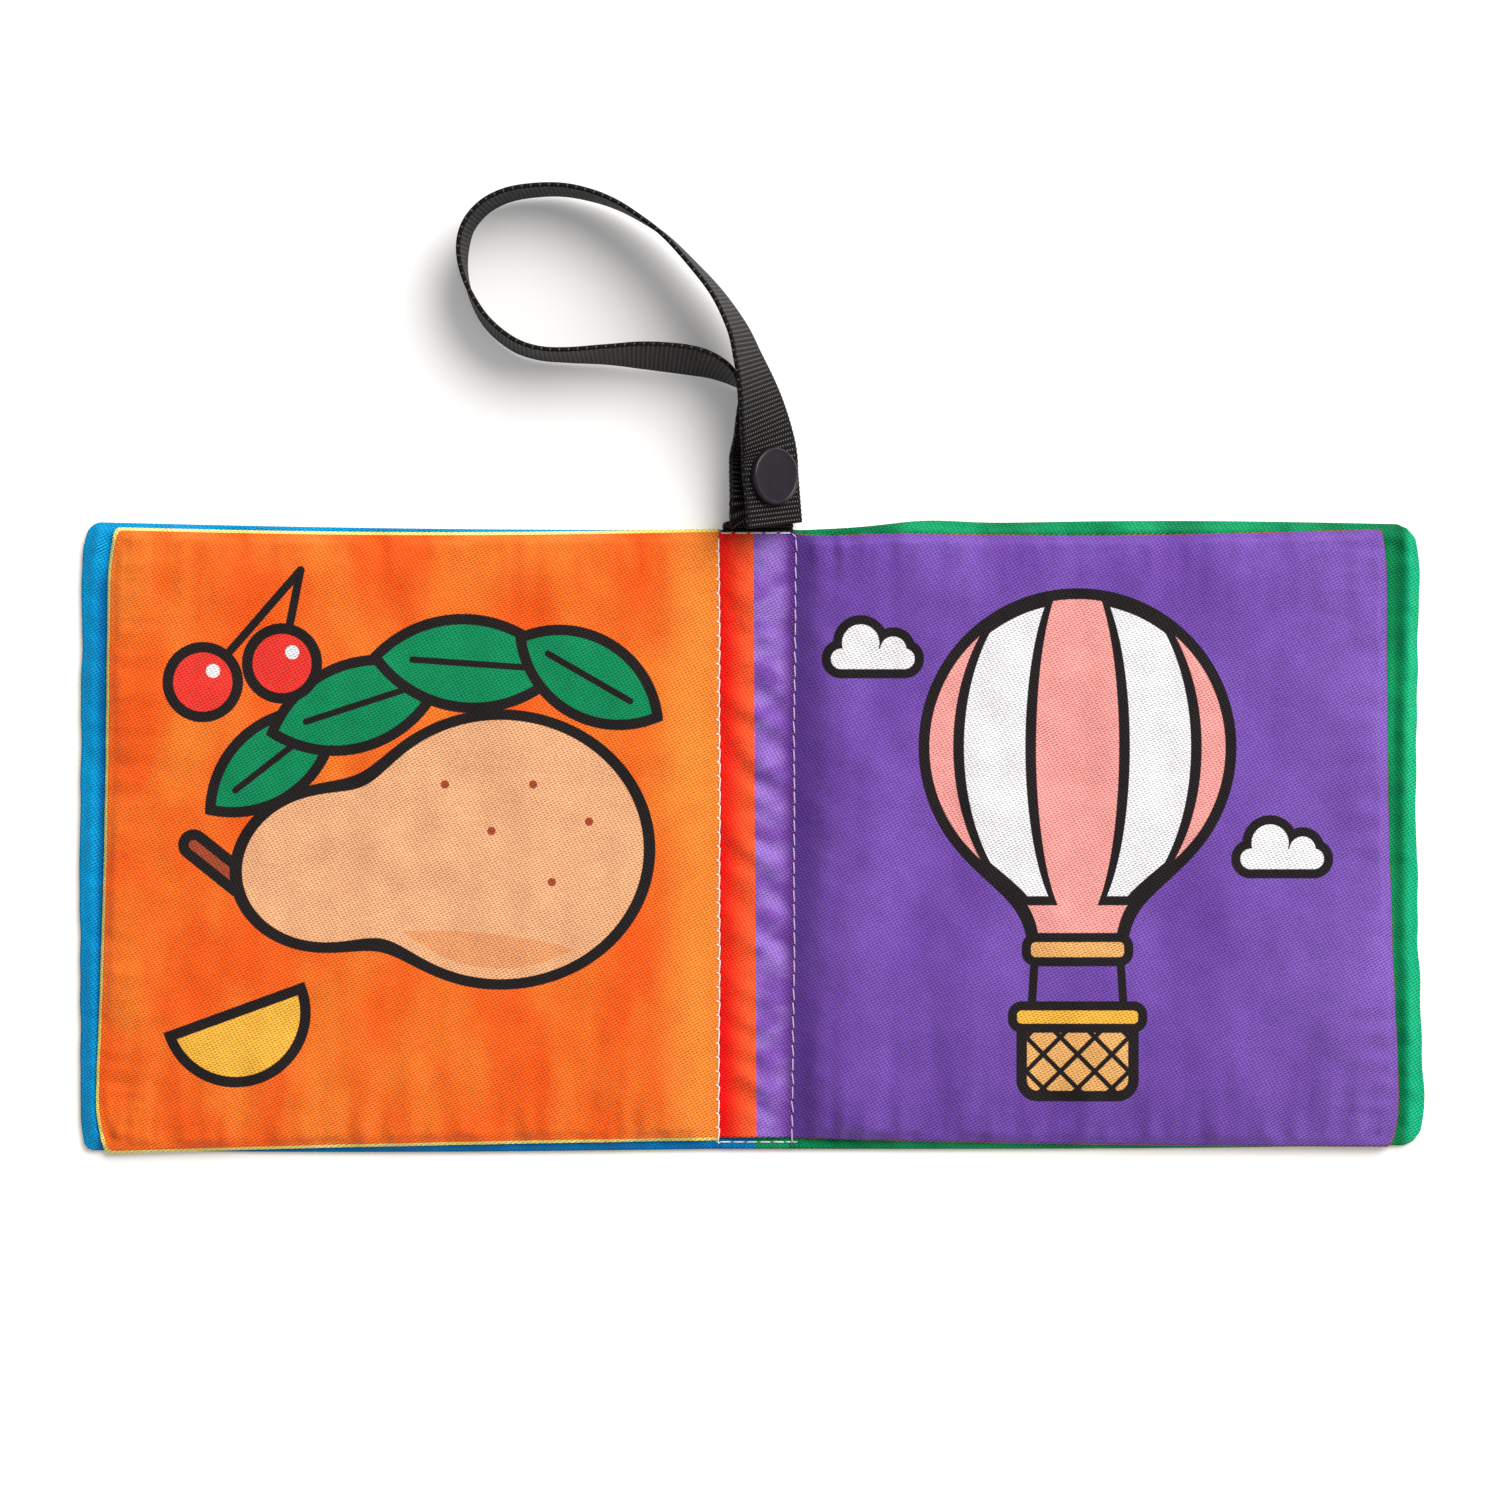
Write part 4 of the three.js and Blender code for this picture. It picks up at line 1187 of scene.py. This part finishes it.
def moveBy(amount):
    return lambda: bpy.ops.transform.translate(value=(0, 0, amount * mm))


def bevel(amount, segments):
    return lambda: bpy.ops.mesh.bevel(offset=amount * mm, segments=segments, affect="EDGES")


def disc(name, radius, low, high):
    pick()
    bpy.ops.mesh.primitive_cylinder_add(
        vertices=snap["segments"], radius=radius * mm, depth=(high - low) * mm, location=(0, 0, (low + high) / 2 * mm))
    piece = called(name)
    bpy.ops.object.transform_apply()
    return piece


def faceUp(polygon):
    return polygon.normal.z > 0.9 and len(polygon.vertices) > 8


def faceDown(polygon):
    return polygon.normal.z < -0.9 and len(polygon.vertices) > 8


def standOn(piece, centre, direction, node, body):
    # Places a finished part on the strap, facing along a direction
    piece.data.materials.append(materials["plastic"])
    pick(piece)
    bpy.ops.object.shade_smooth_by_angle(angle=math.radians(35))
    turn = direction.to_track_quat("Z", "Y").to_matrix().to_4x4()
    piece.data.transform(Matrix.Translation(centre * mm) @ turn)
    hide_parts(node)
    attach(piece, body)


def makeCap(name, postEnd):
    cap = disc(name, snap["capRadius"], snap["capBrim"], snap["capTop"])
    workOn(cap, faceUp, bevel(snap["capRound"], 5))
    workOn(cap, faceUp, *(step for width, rise in snap["dish"] for step in (inset(width), moveBy(rise))))
    workOn(
        cap, faceDown, inset(snap["edgeRound"]), moveBy(-0.02), ring("capRadius", "edgeRound", "postRadius"),
        raiseBy(-(snap["capBrim"] + postEnd)),
        lambda: bpy.ops.mesh.extrude_region_move(),
        lambda: bpy.ops.transform.resize(
            value=(snap["headRadius"] / snap["postRadius"],) * 2 + (1,), center_override=(0, 0, 0)),
        raiseBy(-snap["headHeight"]))
    return cap


def openHole(piece):
    # Takes away the two faces at the ends of the post's hole and joins their rims
    area = min(polygon.area for polygon in piece.data.polygons if len(polygon.vertices) > 8)
    workOn(
        piece, lambda polygon: len(polygon.vertices) > 8 and polygon.area < area * 1.05,
        lambda: bpy.ops.mesh.delete(type="ONLY_FACE"), lambda: bpy.ops.mesh.select_mode(type="EDGE"),
        lambda: bpy.ops.mesh.select_all(action="DESELECT"), bpy.ops.mesh.select_non_manifold,
        bpy.ops.mesh.bridge_edge_loops)


def ring(outer, *inner):
    # An inset from one of the snap's radii to another
    return inset(snap[outer] - sum(snap[part] for part in inner))


def makeSocket():
    socket = disc("snapSocket", snap["ringRadius"], -snap["socketEnd"], -snap["seat"])
    workOn(socket, faceDown, bevel(snap["edgeRound"], 3))
    workOn(
        socket, faceDown, ring("ringRadius", "edgeRound", "boreRadius"),
        raiseBy(snap["socketEnd"] - snap["webEnd"]), ring("boreRadius", "holeRadius"))
    workOn(socket, faceUp, ring("ringRadius", "holeRadius"))
    openHole(socket)
    return socket


def makeStud():
    stud = disc("snapStud", snap["ringRadius"], snap["seat"], snap["plateEnd"])
    workOn(stud, faceUp, bevel(snap["edgeRound"], 3))
    workOn(
        stud, faceUp, ring("ringRadius", "edgeRound", "bossRadius"), raiseBy(snap["bossEnd"] - snap["plateEnd"]),
        inset(snap["bossWall"]), raiseBy(snap["plateEnd"] - snap["bossEnd"]),
        ring("bossRadius", "bossWall", "holeRadius"))
    workOn(stud, faceDown, ring("ringRadius", "holeRadius"))
    openHole(stud)
    return stud


def makeSnap():
    standOn(makeCap("snapCap", snap["capPost"]), endCentre, snapFace, "snap_cap", "strap_end")
    standOn(makeSocket(), endCentre, snapFace, "snap_socket", "strap_end")
    standOn(makeStud(), studCentre, snapFace, "snap_stud", "strap")
    standOn(makeCap("snapUnderCap", snap["underPost"]), studCentre, -snapFace, "snap_under_cap", "strap")


makeSnap()
print("snap")


# The crinkle film inside each leaf stays as the drawing has it
def filmMaterial():
    nodes = Nodes("crinkleFilm")
    place = nodes.add("ShaderNodeTexCoord").outputs["Object"]
    creases = nodes.add("ShaderNodeTexVoronoi", feature="DISTANCE_TO_EDGE")
    creases.inputs["Scale"].default_value = 160
    nodes.link(place, creases.inputs["Vector"])
    nodes.surface("Normal", nodes.bump(creases.outputs[0], 0.0004, 0.8))
    haze = nodes.noise(place, 60, 3, 0.5)
    nodes.surface("Base Color", nodes.mix(haze, colour("dfe4e8"), colour("f4f6f8")))
    nodes.surface("Roughness", nodes.timesPlus(haze, 0.2, 0.12))
    return nodes.material


materials["film"] = filmMaterial()
for filmName in ("left_page_film", "right_page_film", "front_cover_film", "back_cover_film"):
    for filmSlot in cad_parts[filmName].material_slots:
        filmSlot.material = materials["film"]
print("films")

# Floor and light
studio = {
    "floorColour": (0.86, 0.85, 0.845, 1), "floorGlow": 0.11, "keySize": 2.9, "keyPower": 153.0,
    "keyPlace": (1.45, 1.72, 2.25), "fill": 0.44,
}


def makeStudio():
    pick()
    bpy.ops.mesh.primitive_plane_add(size=6, location=(0, 0, -0.0001))
    floor = bpy.context.object
    floor.name = "floor"
    nodes = Nodes("floorPaper")
    nodes.surface("Base Color", studio["floorColour"])
    nodes.surface("Roughness", 0.9)
    nodes.surface("Specular IOR Level", 0.1)
    path = nodes.add("ShaderNodeLightPath")
    glow = nodes.add("ShaderNodeEmission")
    glow.inputs["Color"].default_value = (1, 1, 1, 1)
    seen = nodes.math("MAXIMUM", path.outputs["Is Camera Ray"], path.outputs["Is Glossy Ray"])
    nodes.link(nodes.times(seen, studio["floorGlow"]), glow.inputs["Strength"])
    both = nodes.add("ShaderNodeAddShader")
    nodes.link(nodes.shader, both.inputs[0])
    nodes.link(glow, both.inputs[1])
    nodes.link(both, nodes.tree.nodes["Material Output"].inputs["Surface"])
    floor.data.materials.append(nodes.material)
    bpy.ops.object.light_add(type="AREA", location=studio["keyPlace"])
    key = bpy.context.object
    key.name = "keyLight"
    key.data.shape = "DISK"
    key.data.size = studio["keySize"]
    key.data.energy = studio["keyPower"]
    key.data.color = (1.0, 0.985, 0.965)
    aim = Vector((0, 0, 0)) - key.location
    key.rotation_euler = aim.to_track_quat("-Z", "Y").to_euler()
    world = bpy.context.scene.world or bpy.data.worlds.new("studio")
    bpy.context.scene.world = world
    world.use_nodes = True
    background = world.node_tree.nodes["Background"]
    background.inputs["Color"].default_value = (1, 1, 1, 1)
    background.inputs["Strength"].default_value = studio["fill"]


makeStudio()
print("studio")
